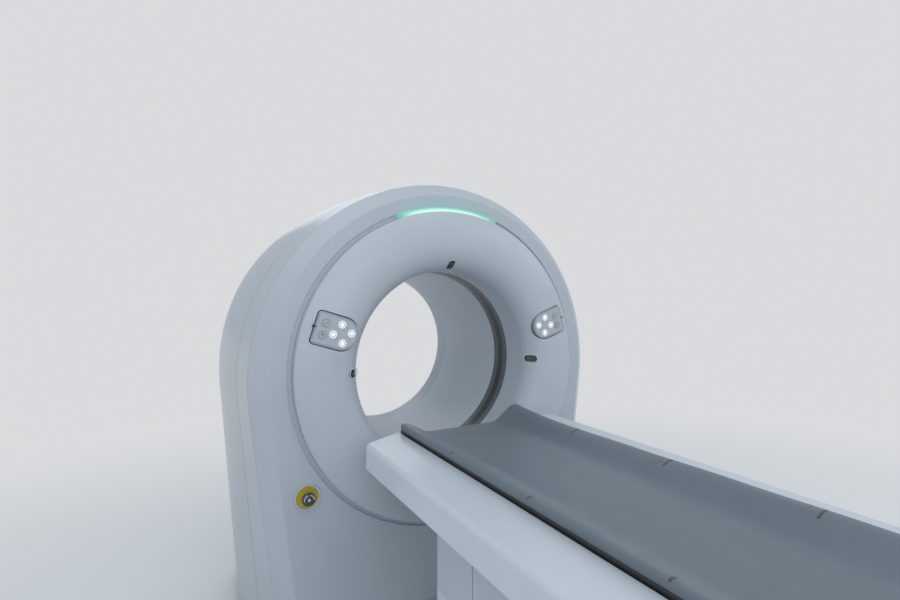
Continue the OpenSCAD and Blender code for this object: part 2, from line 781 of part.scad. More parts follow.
// Plinth plate with two rails; its edge follows the feet of the covers
plinth_h = cover_foot - seat_gap;
plinth_in = cover_wall / 2;
anchor_r = 9;
function plinth_at(s) = [half_width(s, cover_foot) - plinth_in, s[0]];
module gantry_base() {
  stations = concat(
    [on_bevel(-face_y + plinth_in), front_seam],
    [for (i = [0:6]) on_shell(mid_y + (rear_y - mid_y) * i / 6)],
    [on_back(back_y - plinth_in)]);
  edge = [for (s = stations) plinth_at(s)];
  color("dimgray") difference() {
    union() {
      linear_extrude(plinth_h) polygon(concat(edge, [for (p = reversed(edge)) [-p[0], p[1]]]));
      both_sides() block([345, frame_y - 60, plinth_h - cut], [585, frame_y + frame_t + 60, rail_top]);
    }
    for (x = [-anchor_x, anchor_x], y = anchor_y)
      translate([x, y, -cut]) cylinder(r = anchor_r, h = cover_foot + 2 * cut, $fn = fn_rod);
  }
}
anchor_x = 440;
anchor_y = [40, 480];

module brush_block() {
  y = frame_y + frame_t + seat_gap;
  ring = hub_back + seat_gap + 40;
  color("darkgoldenrod") on_ray(225) {
    block([550, y, -50], [596, ring + 46, 50]);
    block([hub_out + 34, ring + 16, -40], [551, ring + 46, 40]);
    for (i = [0:4])
      block([hub_out + 52 + i * 22, ring + 0.6, -16], [hub_out + 58 + i * 22, ring + 17, 16]);
  }
}

shaft_r = 12;
belt_y = disc_y + 16;
belt_w = 36;
module drive_motor() {
  y = frame_y - seat_gap;
  color("darkslategray") difference() {
    union() {
      rod_y(motor[0], motor[1], motor_r, y - cut, y + 150, fn_part);
      rod_y(motor[0], motor[1], motor_r + 15, y - 14, y, fn_part);
      rod_y(motor[0], motor[1], 26, y - 34, y - 13, fn_part);
      for (a = [0:30:330])
        translate([motor[0], 0, motor[1]]) rotate([0, a, 0])
          block([-3, y + 44, motor_r - 2], [3, y + 140, motor_r + 6]);
    }
    rod_y(motor[0], motor[1], shaft_r + run_gap, y - 35, y + 40);
  }
}

module drive_pulley() {
  color("silver") {
    about_y(motor[0], motor[1]) polygon([
      [0, belt_y - 6], [pulley_r + 4, belt_y - 6], [pulley_r + 4, belt_y - 2], [pulley_r, belt_y - 2],
      [pulley_r, belt_y + belt_w + 2], [pulley_r + 4, belt_y + belt_w + 2], [pulley_r + 4, belt_y + belt_w + 6],
      [shaft_r + 8, belt_y + belt_w + 6], [shaft_r + 8, belt_y + belt_w + 16], [shaft_r, belt_y + belt_w + 16],
      [shaft_r, frame_y + 30], [0, frame_y + 30]]);
  }
}

// Flat belt: two arcs joined by their outer tangents
belt_run = norm([motor[0], motor[1] - iso_h]);
belt_dir = atan2(motor[1] - iso_h, motor[0]);
belt_turn = acos((drum_r - pulley_r) / belt_run);
module belt_area(grow) {
  a = belt_dir - belt_turn;
  b = belt_dir + belt_turn;
  big = drum_r + grow;
  small = pulley_r + grow;
  at = [motor[0], motor[1] - iso_h];
  circle(r = big, $fn = fn_bore);
  translate(at) circle(r = small, $fn = fn_part);
  polygon([
    big * [cos(a), sin(a)], at + small * [cos(a), sin(a)],
    at + small * [cos(b), sin(b)], big * [cos(b), sin(b)]]);
}
module drive_belt() {
  color("black") translate([0, 0, iso_h]) along_y(belt_y, belt_y + belt_w) difference() {
    belt_area(seat_gap + belt_t);
    belt_area(seat_gap);
  }
}

// Cooling fan on the pin of the rear cover
module vent_fan(side) {
  y0 = back_y - 8 - seat_gap - vent_t;
  on_side(side) difference() {
    union() {
      rod_y(vent_x, vent_z, 20, y0, y0 + vent_t);
      for (i = [0:6])
        translate([vent_x, y0 + vent_t / 2, vent_z]) rotate([0, i * 360 / 7, 0]) translate([18, 0, 0])
          rotate([38, 0, 0]) translate([0, -1.2, -14]) cube([vent_r - 20, 2.4, 28]);
    }
    rod_y(vent_x, vent_z, pin_r + run_gap, y0 - cut, y0 + vent_t + cut);
  }
}
module fan_left() {
  color("dimgray") vent_fan(-1);
}
module fan_right() {
  color("dimgray") vent_fan(1);
}

// Telescopic covers of the pedestal, each inside the next
ped_gap = 0.6;
ped_corner = 16;
ped_back = ped_front + ped_l;
function ped_inset(k) = k * (table_wall + ped_gap);
module ped_plan(inset) {
  rounded([-ped_half + inset, -ped_back + inset], [ped_half - inset, -ped_front - inset], ped_corner - inset / 2);
}
module ped_shell(k, z0, z1) {
  translate([0, 0, z0]) linear_extrude(z1 - z0) difference() {
    ped_plan(ped_inset(k));
    ped_plan(ped_inset(k) + table_wall);
  }
}
skirt_h = 220;
plate_t = 10;
plate_top = beam_top - beam_h;
plate_low = plate_top - plate_t;
skirt_top = plate_low - seat_gap;
skirt_low = plate_low - skirt_h;
mid_low = base_cover_h - 40 - lift_up / 2;
mid_top = skirt_low + 14 + lift_up / 2;
duct_w = 120;

module base_cover() {
  color("whitesmoke") ped_shell(2, 2, base_cover_h);
}

module mid_cover() {
  low_ride = lift_down / 2;
  color("gainsboro") difference() {
    ped_shell(1, mid_low, mid_top);
    block([-duct_w - 4, -ped_front - 40, mid_low - cut], [duct_w + 4, -ped_front + cut, duct_h + low_ride + 5]);
  }
}

module skirt_front() {
  color("whitesmoke") intersection() {
    ped_shell(0, skirt_low, skirt_top);
    block([-ped_half - cut, -ped_front - ped_seam + seam / 2, skirt_low], [ped_half + cut, -ped_front + cut, skirt_top]);
  }
}

module skirt_rear() {
  color("whitesmoke") intersection() {
    ped_shell(0, skirt_low, skirt_top);
    block([-ped_half - cut, -ped_back - cut, skirt_low], [ped_half + cut, -ped_front - ped_seam - seam / 2, skirt_top]);
  }
}

module cable_duct() {
  y0 = -ped_front - ped_inset(2) + seat_gap;
  y1 = -face_y - seat_gap;
  color("dimgray") difference() {
    along_y(y0, y1) intersection() {
      rounded([-duct_w, -20], [duct_w, duct_h], 10);
      translate([-duct_w, 0]) square([2 * duct_w, duct_h]);
    }
    block([-duct_w + 4, y0 - cut, -cut], [duct_w - 4, y1 + cut, duct_h - 4]);
  }
}

// Lifting column: a fixed tube, a sleeve and a ram, one inside the other
col_y = ped_front + ped_l / 2;
col_half = [140, 180];
col_wall = 8;
base_t = 20;
tube_top = 325;
head_z = plate_low - 61;
nut_t = 8;
sleeve_z = [tube_top - 105 - lift_up / 2, head_z - 10 - lift_down / 2];
ram_low = sleeve_z[0] + nut_t + 7 + lift_down / 2;
screw_top = sleeve_z[0] + 80 + lift_up / 2;
function col_size(k) = [for (h = col_half) h - k * (col_wall + ped_gap)];
module col_tube(k, z0, z1) {
  h = col_size(k);
  difference() {
    block([-h[0], -col_y - h[1], z0], [h[0], -col_y + h[1], z1]);
    block([-h[0] + col_wall, -col_y - h[1] + col_wall, z0 - cut],
      [h[0] - col_wall, -col_y + h[1] - col_wall, z1 + cut]);
  }
}

module table_base() {
  h = col_size(0);
  color("dimgray") {
    difference() {
      linear_extrude(base_t) ped_plan(ped_inset(2) + table_wall + ped_gap);
      translate([0, -col_y, 8]) cylinder(r = screw_r + run_gap, h = base_t, $fn = fn_rod);
      for (x = [-base_anchor_x, base_anchor_x], y = base_anchor_y)
        translate([x, y, -cut]) cylinder(r = anchor_r, h = base_t + 2 * cut, $fn = fn_rod);
    }
    col_tube(0, base_t - cut, tube_top);
    block([-60, -col_y + h[1] - cut, base_t - cut], [60, -col_y + h[1] + 80, 130]);
    rod_y(0, 82, 42, -col_y + h[1] + 79, -col_y + h[1] + 220, fn_part);
    rod_y(0, 82, 47, -col_y + h[1] + 100, -col_y + h[1] + 130, fn_part);
  }
}
base_anchor_x = 250;
base_anchor_y = [-ped_front - 90, -ped_back + 90];

module column_sleeve() {
  h = col_size(1);
  inner = ped_half - ped_inset(1) - table_wall - seat_gap;
  color("silver") {
    col_tube(1, sleeve_z[0], sleeve_z[1] - 4);
    difference() {
      block([-inner, -col_y - h[1] - 100, sleeve_z[1] - 4], [inner, -col_y + h[1] + 100, sleeve_z[1]]);
      block([-h[0] + col_wall, -col_y - h[1] + col_wall, sleeve_z[1] - 4 - cut],
        [h[0] - col_wall, -col_y + h[1] - col_wall, sleeve_z[1] + cut]);
    }
    difference() {
      block([-h[0] + cut, -col_y - h[1] + cut, sleeve_z[0]],
        [h[0] - cut, -col_y + h[1] - cut, sleeve_z[0] + nut_t]);
      translate([0, -col_y, sleeve_z[0] - cut]) cylinder(r = screw_r + seat_gap, h = nut_t + 2 * cut, $fn = fn_rod);
    }
  }
}

module lift_screw() {
  color("gray") translate([0, -col_y, 8 + seat_gap]) cylinder(r = screw_r, h = screw_top - 8 - seat_gap, $fn = fn_rod);
}

// Cradle section: flat pad, rising flanks and a rolled lip each side
lip_z = pad_top + lip_rise - lip_r;
cradle_low = pad_top - 38;
function flank(x, depth) = pad_top - depth
  + lip_rise * (1 - cos(180 * (x - flat_half) / (lip_x - flat_half))) / 2;
function right_side(depth, turn) = concat(
  [for (i = [0:10]) let (x = flat_half + (lip_x - flat_half) * i / 10) [x, flank(x, depth)]],
  [for (i = [1:6]) let (a = 90 - (90 + turn) * i / 6)
    [lip_x + (lip_r - depth) * cos(a), lip_z + (lip_r - depth) * sin(a)]]);
function mirrored(points) = [for (p = reversed(points)) [-p[0], p[1]]];
lip_turn = 25;
module mattress() {
  top = right_side(0, lip_turn);
  under = right_side(pad_t, lip_turn);
  color("slategray") along_y(-cradle_front - cradle_l + 4, -cradle_front)
    polygon(concat(mirrored(top), top, reversed(under), reversed(mirrored(under))));
}

cradle_side = beam_in - 5;
rack_x = [165, 185];
module cradle() {
  top = right_side(pad_t + seat_gap, lip_turn);
  edge = concat(top, [
    [cradle_side - 2, lip_z - 12], [cradle_side, beam_top - 6], [cradle_side, cradle_low + 28],
    [cradle_side - 5, cradle_low + 15], [cradle_side - 18, cradle_low + 5], [cradle_side - 36, cradle_low]]);
  color("lightgray") along_y(-cradle_front - cradle_l, -cradle_front - 1)
    polygon(concat(mirrored(edge), edge));
}

// Rack and pinion with involute teeth and some backlash
teeth = 18;
pressure = 20;
backlash = 0.9;
pinion_r = tooth_m * teeth / 2;
pitch = PI * tooth_m;
pinion_y = ped_front + 188;
rack_line = cradle_low - seat_gap - 15;
pinion_z = rack_line - pinion_r;
rack_front = pinion_y - 20;
rack_n = floor((cradle_travel + 40) / pitch) + 1;
module cradle_rack() {
  back = rack_front + rack_n * pitch;
  half = (pitch / 2 - backlash) / 2;
  slope = tooth_m * tan(pressure);
  root = rack_line + 1.25 * tooth_m;
  function tooth(y) = [
    [y + half + 1.25 * slope, root], [y + half - slope, rack_line - tooth_m],
    [y - half + slope, rack_line - tooth_m], [y - half - 1.25 * slope, root]];
  color("dimgray") translate([rack_x[0], 0, 0]) rotate([90, 0, 90]) linear_extrude(rack_x[1] - rack_x[0])
    polygon(concat(
      [[-back, cradle_low - seat_gap], [-rack_front + pitch / 2, cradle_low - seat_gap],
       [-rack_front + pitch / 2, root]],
      [for (k = [0:rack_n - 1]) each tooth(-pinion_y + (floor(20 / pitch) - k + 0.5) * pitch)],
      [[-back, root]]));
}

function involute(a) = tan(a) * 180 / PI - a;
function half_tooth(r) =
  let (base = pinion_r * cos(pressure))
  90 / teeth - backlash / 2 / pinion_r * 180 / PI + involute(pressure) - involute(acos(base / max(r, base)));
module drive_pinion() {
  tip = pinion_r + tooth_m;
  root = pinion_r - 1.25 * tooth_m;
  color("silver") translate([0, -pinion_y, pinion_z]) rotate([90, 0, 90]) {
    translate([0, 0, rack_x[0]]) linear_extrude(rack_x[1] - rack_x[0]) polygon([
      for (i = [0:teeth - 1], s = [-1, 1], k = [0:5])
        let (r = root + (tip - root) * (s < 0 ? k : 5 - k) / 5, a = 90 + 360 * i / teeth + s * half_tooth(r))
        [r * cos(a), r * sin(a)]]);
    translate([0, 0, gear_box[0] + 10]) cylinder(r = 10, h = rack_x[0] - gear_box[0] - 9, $fn = fn_rod);
    translate([0, 0, rack_x[0] - 4]) cylinder(r = 20, h = 5, $fn = fn_rod);
  }
}
gear_box = [100, 158];

module cradle_motor() {
  z = pinion_z - 52;
  color("darkslategray") difference() {
    union() {
      block([gear_box[0], -pinion_y - 46, z - 40], [gear_box[1], -pinion_y + 46, plate_low - seat_gap]);
      translate([-30, -pinion_y, z]) rotate([0, 90, 0]) cylinder(r = 40, h = gear_box[0] + 31, $fn = fn_part);
      translate([-50, -pinion_y, z]) rotate([0, 90, 0]) cylinder(r = 34, h = 21, $fn = fn_part);
    }
    translate([gear_box[0] + 8, -pinion_y, pinion_z]) rotate([0, 90, 0])
      cylinder(r = 10 + run_gap, h = gear_box[1], $fn = fn_rod);
  }
}

roller_r = 14;
roller_half = 100;
roller_y = cradle_front + 61;
axle_r = 5;
roller_z = cradle_low - seat_gap - roller_r;
module front_roller() {
  color("darkgray") translate([0, -roller_y, roller_z]) rotate([0, 90, 0]) {
    translate([0, 0, -roller_half]) cylinder(r = roller_r, h = 2 * roller_half, $fn = fn_rod);
    translate([0, 0, -roller_half - 8]) cylinder(r = axle_r, h = 2 * roller_half + 16, $fn = fn_rod);
  }
}

// Table top: plate with slide rails, side tubes, roller brackets and the ram of the column
table_back = cradle_front + cradle_l + 6;
foot_l = 65;
module table_frame() {
  front = -cradle_front - 31;
  back = -table_back - foot_l + 25;
  rail_half = [112, 150];
  color("lightsteelblue") {
    difference() {
      block([-beam_out + 14, back, plate_low], [beam_out - 14, front, plate_top]);
      block([rack_x[0] - 5, -pinion_y - pinion_r - 9, plate_low - cut],
        [rack_x[1] + 5, -pinion_y + pinion_r + 9, plate_top + cut]);
    }
    both_sides() {
      block([rail_half[0], back + 60, plate_top - cut], [rail_half[1], front - 60, cradle_low - seat_gap]);
      difference() {
        block([beam_in + 30, back + 40, plate_top - cut], [beam_in + 80, front - 80, beam_top - 20]);
        block([beam_in + 34, back + 39, plate_top + 4], [beam_in + 76, front - 79, beam_top - 24]);
      }
      difference() {
        block([roller_half + 1, -roller_y - 12, plate_top - cut], [roller_half + 9, -roller_y + 12, roller_z + 10]);
        translate([roller_half, -roller_y, roller_z]) rotate([0, 90, 0])
          cylinder(r = axle_r + run_gap, h = 10, $fn = fn_rod);
      }
    }
    col_tube(2, ram_low, plate_low + cut);
    difference() {
      block([-190, -col_y - 220, head_z], [190, -col_y + 220, plate_low + cut]);
      block([-180, -col_y - 210, head_z - cut], [180, -col_y + 210, plate_low - 6]);
    }
    difference() {
      block([-181, -col_y - 211, head_z], [181, -col_y + 211, head_z + 8]);
      block([-col_size(2)[0] + cut, -col_y - col_size(2)[1] + cut, head_z - cut],
        [col_size(2)[0] - cut, -col_y + col_size(2)[1] - cut, head_z + 9]);
    }
  }
}

// Side beams: hollow rails with a slanted front end and a rounded outer edge
beam_low = plate_top + seat_gap;
module beam_section(inset) {
  x0 = beam_in + inset;
  x1 = beam_out - inset;
  z1 = beam_top - inset;
  r = max(beam_round - inset, 2);
  translate([x0, beam_low]) square([x1 - x0 - r, z1 - beam_low]);
  translate([x0, beam_low]) square([x1 - x0, z1 - beam_low - r]);
  translate([x1 - r, z1 - r]) circle(r = r, $fn = fn_rod);
}
module beam_plan(inset) {
  front = -cradle_front + 3 - 1.5 * inset;
  polygon([
    [beam_in - cut, front], [beam_in, front], [beam_out, front - beam_slant], [beam_out + cut, front - beam_slant],
    [beam_out + cut, -table_back + seam - inset], [beam_in - cut, -table_back + seam - inset]]);
}
module beam(side) {
  on_side(side) difference() {
    intersection() {
      along_y(-table_back, -cradle_front + 10) beam_section(0);
      translate([0, 0, beam_low - cut]) linear_extrude(beam_h + 2 * cut) beam_plan(0);
    }
    intersection() {
      translate([0, 0, -cut]) along_y(-table_back - cut, -cradle_front) {
        beam_section(table_wall);
        translate([beam_in + table_wall, beam_low - cut]) square([beam_out - beam_in - 2 * table_wall, 10]);
      }
      translate([0, 0, beam_low - 10]) linear_extrude(beam_h + 20) beam_plan(table_wall);
    }
  }
}
module beam_left() {
  color("whitesmoke") beam(-1);
}
module beam_right() {
  color("whitesmoke") beam(1);
}

module foot_cover() {
  y1 = -table_back;
  color("whitesmoke") difference() {
    intersection() {
      along_y(y1 - foot_l, y1) {
        both_sides() beam_section(0);
        translate([-beam_in - 1, beam_low]) square([2 * beam_in + 2, beam_top - beam_low]);
      }
      translate([0, 0, beam_low - cut]) linear_extrude(beam_h + 2 * cut)
        rounded([-beam_out - cut, y1 - foot_l], [beam_out + cut, y1 + 60], 30);
    }
    block([-beam_out + table_wall, y1 - foot_l + table_wall + 20, beam_low - cut],
      [beam_out - table_wall, y1 - table_wall, beam_top - beam_round]);
  }
}

gantry_base();
main_frame();
bearing_race();
front_cover();
ring_panel();
status_light();
middle_cover();
outer_shell();
rear_cover();
rear_funnel();
bore_liner_upper();
bore_liner_lower();
scan_window();
laser_windows();
control_panel_left();
control_panel_right();
left_button_up();
left_button_down();
left_button_in();
left_button_out();
left_button_confirm();
left_button_light();
right_button_up();
right_button_down();
right_button_in();
right_button_out();
right_button_confirm();
right_button_light();
estop_dish();
estop_head();
rotor_drum();
slip_ring();
xray_tube();
hv_generator();
heat_exchanger();
detector_arc();
brush_block();
drive_motor();
drive_pulley();
drive_belt();
fan_left();
fan_right();
cable_duct();
table_base();
base_cover();
mid_cover();
column_sleeve();
lift_screw();
table_frame();
skirt_front();
skirt_rear();
beam_left();
beam_right();
foot_cover();
cradle_motor();
drive_pinion();
front_roller();
cradle();
cradle_rack();
mattress();
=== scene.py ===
import json
import math

import bmesh
import bpy
from bpy.props import FloatProperty, FloatVectorProperty, IntProperty, PointerProperty
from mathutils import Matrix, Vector, noise
from mathutils.bvhtree import BVHTree


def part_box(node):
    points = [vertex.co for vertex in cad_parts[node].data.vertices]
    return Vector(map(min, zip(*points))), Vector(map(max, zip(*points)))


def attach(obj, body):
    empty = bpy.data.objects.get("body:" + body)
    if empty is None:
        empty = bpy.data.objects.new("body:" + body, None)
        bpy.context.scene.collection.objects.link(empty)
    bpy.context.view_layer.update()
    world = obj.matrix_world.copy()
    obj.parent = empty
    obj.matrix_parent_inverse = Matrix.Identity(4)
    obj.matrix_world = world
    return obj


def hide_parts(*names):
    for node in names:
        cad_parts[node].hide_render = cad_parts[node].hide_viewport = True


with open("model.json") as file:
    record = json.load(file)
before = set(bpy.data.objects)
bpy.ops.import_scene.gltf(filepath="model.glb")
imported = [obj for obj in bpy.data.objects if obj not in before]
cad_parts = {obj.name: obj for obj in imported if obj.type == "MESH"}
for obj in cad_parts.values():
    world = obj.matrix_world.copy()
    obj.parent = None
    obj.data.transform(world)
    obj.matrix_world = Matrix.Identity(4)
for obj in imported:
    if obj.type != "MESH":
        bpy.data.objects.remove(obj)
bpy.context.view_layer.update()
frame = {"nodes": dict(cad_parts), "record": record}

bl_info = {
    "name": "CT scanner dresser",
    "version": (1, 0, 0),
    "blender": (4, 5, 0),
    "location": "View3D > Sidebar > Scanner",
    "description": "Finishes, controls and padding for a CT gantry and its patient table",
    "category": "Add Mesh",
}

NODES = frame["nodes"]
SLOTS = {part["node"]: part["material_slot"] for part in frame["record"]["subparts"]}

# Places on the gantry in metres. What is nearer to the table than FACE_Y is the gantry's face, and
# the groove round the ring panel lies between these distances from the bore axis
BORE_Z, BORE_R, FACE_Y = 0.96, 0.350, -0.12
GROOVE_IN, GROOVE_OUT = (0.566, 0.568), (0.5855, 0.5865)


# Sizes and colours

def colour(name, value, description):
    return FloatVectorProperty(name=name, description=description, default=value, size=3,
                               subtype="COLOR", min=0.0, max=1.0)


def length(name, value, description, low=0.0, high=1.0):
    return FloatProperty(name=name, description=description, default=value, min=low, max=high,
                         subtype="DISTANCE", unit="LENGTH", precision=4)


class ScannerSizes(bpy.types.PropertyGroup):
    flat_half: length("Flat half width", 0.128, "Half the flat width of the pad")
    lip_x: length("Lip place", 0.232, "Distance of the rolled lip's centre from the middle")
    lip_rise: length("Lip rise", 0.040, "Height of the lip above the flat")
    lip_r: length("Lip radius", 0.013, "Outer radius of the rolled lip")
    pad_t: length("Pad thickness", 0.012, "Thickness of the pad over the cradle")
    pad_top: length("Pad height", 0.756, "Height of the flat of the pad above the floor")
    swell: length("Pad swell", 0.0022, "Most that the filling may swell the cover", 0.0, 0.02)
    curl: length("Lip curl", 0.016, "How far the right lip curls up at its front end")
    lean: length("Lip lean", 0.008, "How far the right lip climbs over its beam towards the rear")
    corner: length("Pad corner", 0.022, "Rounding of the pad's corners in plan")
    strap_w: length("Strap width", 0.0055, "Width of one strap loop", 0.002, 0.05)
    icon_t: length("Icon thickness", 0.0003, "How far a printed sign stands on its key", 0.0001, 0.002)
    focal: FloatProperty(name="Focal length", description="Lens of the view camera in millimetres",
                         default=20.56, min=10.0, max=80.0, unit="CAMERA")
    sim_steps: IntProperty(name="Cloth steps", description="Steps of the pad's cloth run",
                           default=20, min=2, max=60)


class ScannerColours(bpy.types.PropertyGroup):
    cover: colour("Covers", (0.440, 0.490, 0.545), "Glossy lacquer of the gantry and column covers")
    # The liner is given a colour lighter than the ring panel's: painted light against the shade inside the
    # bore
    ring: colour("Front ring", (0.450, 0.500, 0.555), "Gel coat of the ring panel and bore liners")
    liner: colour("Bore liner", (0.545, 0.600, 0.655), "Gel coat of the two liner halves in the bore")
    beam: colour("Table beams", (0.575, 0.630, 0.690), "Lacquer of the side beams")
    panel: colour("Control panel", (0.415, 0.460, 0.510), "Soft-touch face of the control panels")
    key: colour("Plain keys", (0.400, 0.445, 0.495), "Keys that don't light up")
    glow: colour("Key glow", (0.860, 0.920, 1.000), "Light of the arrow keys")
    sign: colour("Signs", (0.235, 0.262, 0.295), "Printed signs on the keys")
    status: colour("Status light", (0.200, 0.600, 0.530), "Light strip over the bore")
    window: colour("Scan window", (0.026, 0.032, 0.037), "Smoked window round the scan plane")
    laser: colour("Laser window", (0.012, 0.015, 0.017), "Black glass of the positioning lasers")
    yellow: colour("Stop yellow", (0.480, 0.360, 0.022), "Disc behind the emergency stop")
    head: colour("Stop head", (0.052, 0.058, 0.064), "Twist head of the emergency stop")
    pad: colour("Pad vinyl", (0.122, 0.156, 0.188), "Coated fabric of the pad")
    strap: colour("Strap", (0.075, 0.070, 0.068), "Webbing of the strap loops")
    cradle: colour("Cradle", (0.030, 0.034, 0.038), "Carbon shell under the pad")
    floor: colour("Floor", (0.800, 0.815, 0.830), "Plain pale floor")
    behind: colour("Background", (0.690, 0.705, 0.720), "What stands behind the object")


# Shader writing

class Value:
    """A shader socket that takes part in Python expressions."""

    def __init__(self, finish, socket):
        self.finish = finish
        self.socket = socket

    def maths(self, operation, *others, first=None):
        inputs = [first, self] if first is not None else [self, *others]
        return self.finish.node("ShaderNodeMath", {"operation": operation}, *inputs)

    def __add__(self, other):
        return self.maths("ADD", other)

    def __sub__(self, other):
        return self.maths("SUBTRACT", other)

    def __rsub__(self, other):
        return self.maths("SUBTRACT", first=other)

    def __mul__(self, other):
        return self.maths("MULTIPLY", other)

    def __truediv__(self, other):
        return self.maths("DIVIDE", other)

    def __lt__(self, other):
        return self.maths("LESS_THAN", other)

    __radd__ = __add__
    __rmul__ = __mul__

    def lowest(self, other):
        return self.maths("MINIMUM", other)

    def highest(self, other):
        return self.maths("MAXIMUM", other)

    def sine(self):
        return self.maths("SINE")

    def size(self):
        return self.maths("ABSOLUTE")

    def root(self):
        return self.maths("SQRT")

    def step(self, low, high):
        """Smooth climb from 0 at low to 1 at high."""
        return self.finish.node("ShaderNodeMapRange", {"interpolation_type": "SMOOTHSTEP"},
                                self, low, high, 0.0, 1.0)

    def band(self, rise, fall):
        """1 between two soft edges, each given as (low, high)."""
        return self.step(*rise) * (1.0 - self.step(*fall))


class Writer:
    """Writes the node tree of a material or a world, one node at a time."""

    def __init__(self, owner):
        owner.use_nodes = True
        self.tree = owner.node_tree
        self.tree.nodes.clear()

    def feed(self, socket, value):
        if isinstance(value, Value):
            self.tree.links.new(value.socket, socket)
        elif socket.type == "RGBA" and len(value) == 3:
            socket.default_value = (*value, 1.0)
        else:
            socket.default_value = value

    def node(self, kind, settings=None, *values, out=0, **named):
        made = self.tree.nodes.new(kind)
        for key, value in (settings or {}).items():
            setattr(made, key, value)
        sockets = [s for s in made.inputs if s.enabled]
        for socket, value in zip(sockets, values):
            if value is not None:
                self.feed(socket, value)
        for key, value in named.items():
            self.feed(next(s for s in sockets if s.name == key.replace("_", " ")), value)
        return made if out is None else Value(self, made.outputs[out])

    def blend(self, factor, low, high):
        """Mixes two whole shaders."""
        return self.node("ShaderNodeMixShader", None, factor, low, high)


class Finish(Writer):
    """One material about one principled shader."""

    def __init__(self, name, **uniform):
        self.material = bpy.data.materials.new(name)
        super().__init__(self.material)
        self.shader = self.node("ShaderNodeBsdfPrincipled", None, **uniform)
        self.out = self.node("ShaderNodeOutputMaterial", None, self.shader, out=None)

    def place(self, stretch=None):
        at = self.node("ShaderNodeTexCoord", out=3)
        if stretch is None:
            return at
        return self.node("ShaderNodeVectorMath", {"operation": "MULTIPLY"}, at, stretch)

    def parts(self):
        outs = self.node("ShaderNodeSeparateXYZ", None, self.place()).socket.node.outputs
        return [Value(self, outs[i]) for i in range(3)]

    def distance(self, x, z):
        return (x * x + z * z).root()

    def about_bore(self, x, z):
        """Angle from the top of the bore, and distance from its axis."""
        up = z - BORE_Z
        return self.node("ShaderNodeMath", {"operation": "ARCTAN2"}, x, up), self.distance(x, up)

    def noise(self, scale, detail=2.0, rough=0.5, at=None):
        return self.node("ShaderNodeTexNoise", None, Vector=at or self.place(), Scale=scale,
                         Detail=detail, Roughness=rough)

    def cells(self, scale, feature="F1"):
        return self.node("ShaderNodeTexVoronoi", {"feature": feature}, Vector=self.place(), Scale=scale)

    def mix(self, factor, low, high):
        made = self.node("ShaderNodeMix", {"data_type": "RGBA"}, factor, low, high)
        made.socket = next(s for s in made.socket.node.outputs if s.enabled)
        return made

    def bump(self, height, strength, depth, under=None):
        more = {} if under is None else {"Normal": under}
        return self.node("ShaderNodeBump", None, Strength=strength, Distance=depth, Height=height,
                         **more)

    def wear(self, **varied):
        for key, value in varied.items():
            self.feed(self.shader.socket.node.inputs[key.replace("_", " ")], value)
        return self.material


def tinted(colour, factor):
    """Lighter or darker colour."""
    return tuple(min(1.0, c * factor) for c in colour)


def lacquer(name, tint, gloss=0.24, coat=0.5, foot=None, glow=None):
    """Sprayed gloss lacquer over moulded plastic: orange peel, faint clouding, thin dust.

    foot is the height up to which it is scuffed. glow is the colour of the status light, painted onto the
    face round the strip as painted light; with glow, the groove round the ring panel is also painted
    lighter, as painted light against the shade that falls in it.
    """
    f = Finish(name, Coat_Roughness=0.14, Specular_IOR_Level=0.4)
    x, y, z = f.parts()
    cloud = f.noise(2.3, 3.0, 0.55)
    fine = f.noise(38.0, 4.0, 0.6)
    shade = f.mix(cloud.step(0.25, 0.75), tinted(tint, 0.965), tinted(tint, 1.03))
    peel = f.noise(420.0, 1.0, 0.4)
    rough = gloss + (fine - 0.5) * 0.10 + (cloud - 0.5) * 0.06
    if foot:
        marks = f.noise(9.0, 6.0, 0.7, f.place((1.0, 1.0, 3.5)))
        scuff = (foot - z).step(-0.02, foot) * marks.step(0.48, 0.75)
        shade = f.mix(scuff * 0.5, shade, tinted(tint, 0.62))
        rough = rough + scuff * 0.2
    if glow:
        turn, radius = f.about_bore(x, z)
        # Painted light: the groove round the ring panel is painted lighter against the shade that falls in
        # it
        painted_groove_light = radius.band(GROOVE_IN, GROOVE_OUT) * (y < FACE_Y)
        shade = f.mix(painted_groove_light, shade, tinted(tint, 1.18))
        # Painted light: the status light's green is painted onto the face round the strip
        painted_status_spill = (1.0 - turn.size().step(0.20, 0.43)) * (1.0 - radius.step(0.588, 0.640)) * (y < FACE_Y)
        shade = f.mix(painted_status_spill * 0.3, shade, glow)
    dust = f.noise(5.5, 5.0, 0.7).step(0.55, 0.9)
    return f.wear(Base_Color=shade, Roughness=rough, Coat_Weight=coat - dust * 0.04,
                  Normal=f.bump(peel, 0.05, 0.0004))


def moulded(name, tint, gloss=0.45, grain=900.0, depth=0.00012):
    """Moulded plastic with a fine eroded grain."""
    f = Finish(name)
    grit = f.cells(grain)
    cloud = f.noise(14.0, 4.0, 0.6)
    rub = f.noise(60.0, 6.0, 0.7).step(0.5, 0.8)
    return f.wear(Base_Color=f.mix(cloud.step(0.3, 0.7), tinted(tint, 0.92), tinted(tint, 1.06)),
                  Roughness=gloss + (cloud - 0.5) * 0.12 - rub * 0.06, Normal=f.bump(grit, 0.25, depth))


def coated(name, tint, gloss=0.48):
    """Powder coat on steel, with a pebbled skin, dust and a few rubbed places."""
    f = Finish(name)
    pebble = f.cells(700.0, feature="SMOOTH_F1")
    cloud = f.noise(4.0, 5.0, 0.6)
    rub = f.noise(26.0, 8.0, 0.72).step(0.62, 0.78)
    shade = f.mix(cloud.step(0.3, 0.7), tinted(tint, 0.88), tinted(tint, 1.08))
    return f.wear(Base_Color=f.mix(rub * 0.35, shade, tinted(tint, 1.5)),
                  Roughness=gloss + (cloud - 0.5) * 0.15, Normal=f.bump(pebble, 0.3, 0.0002))


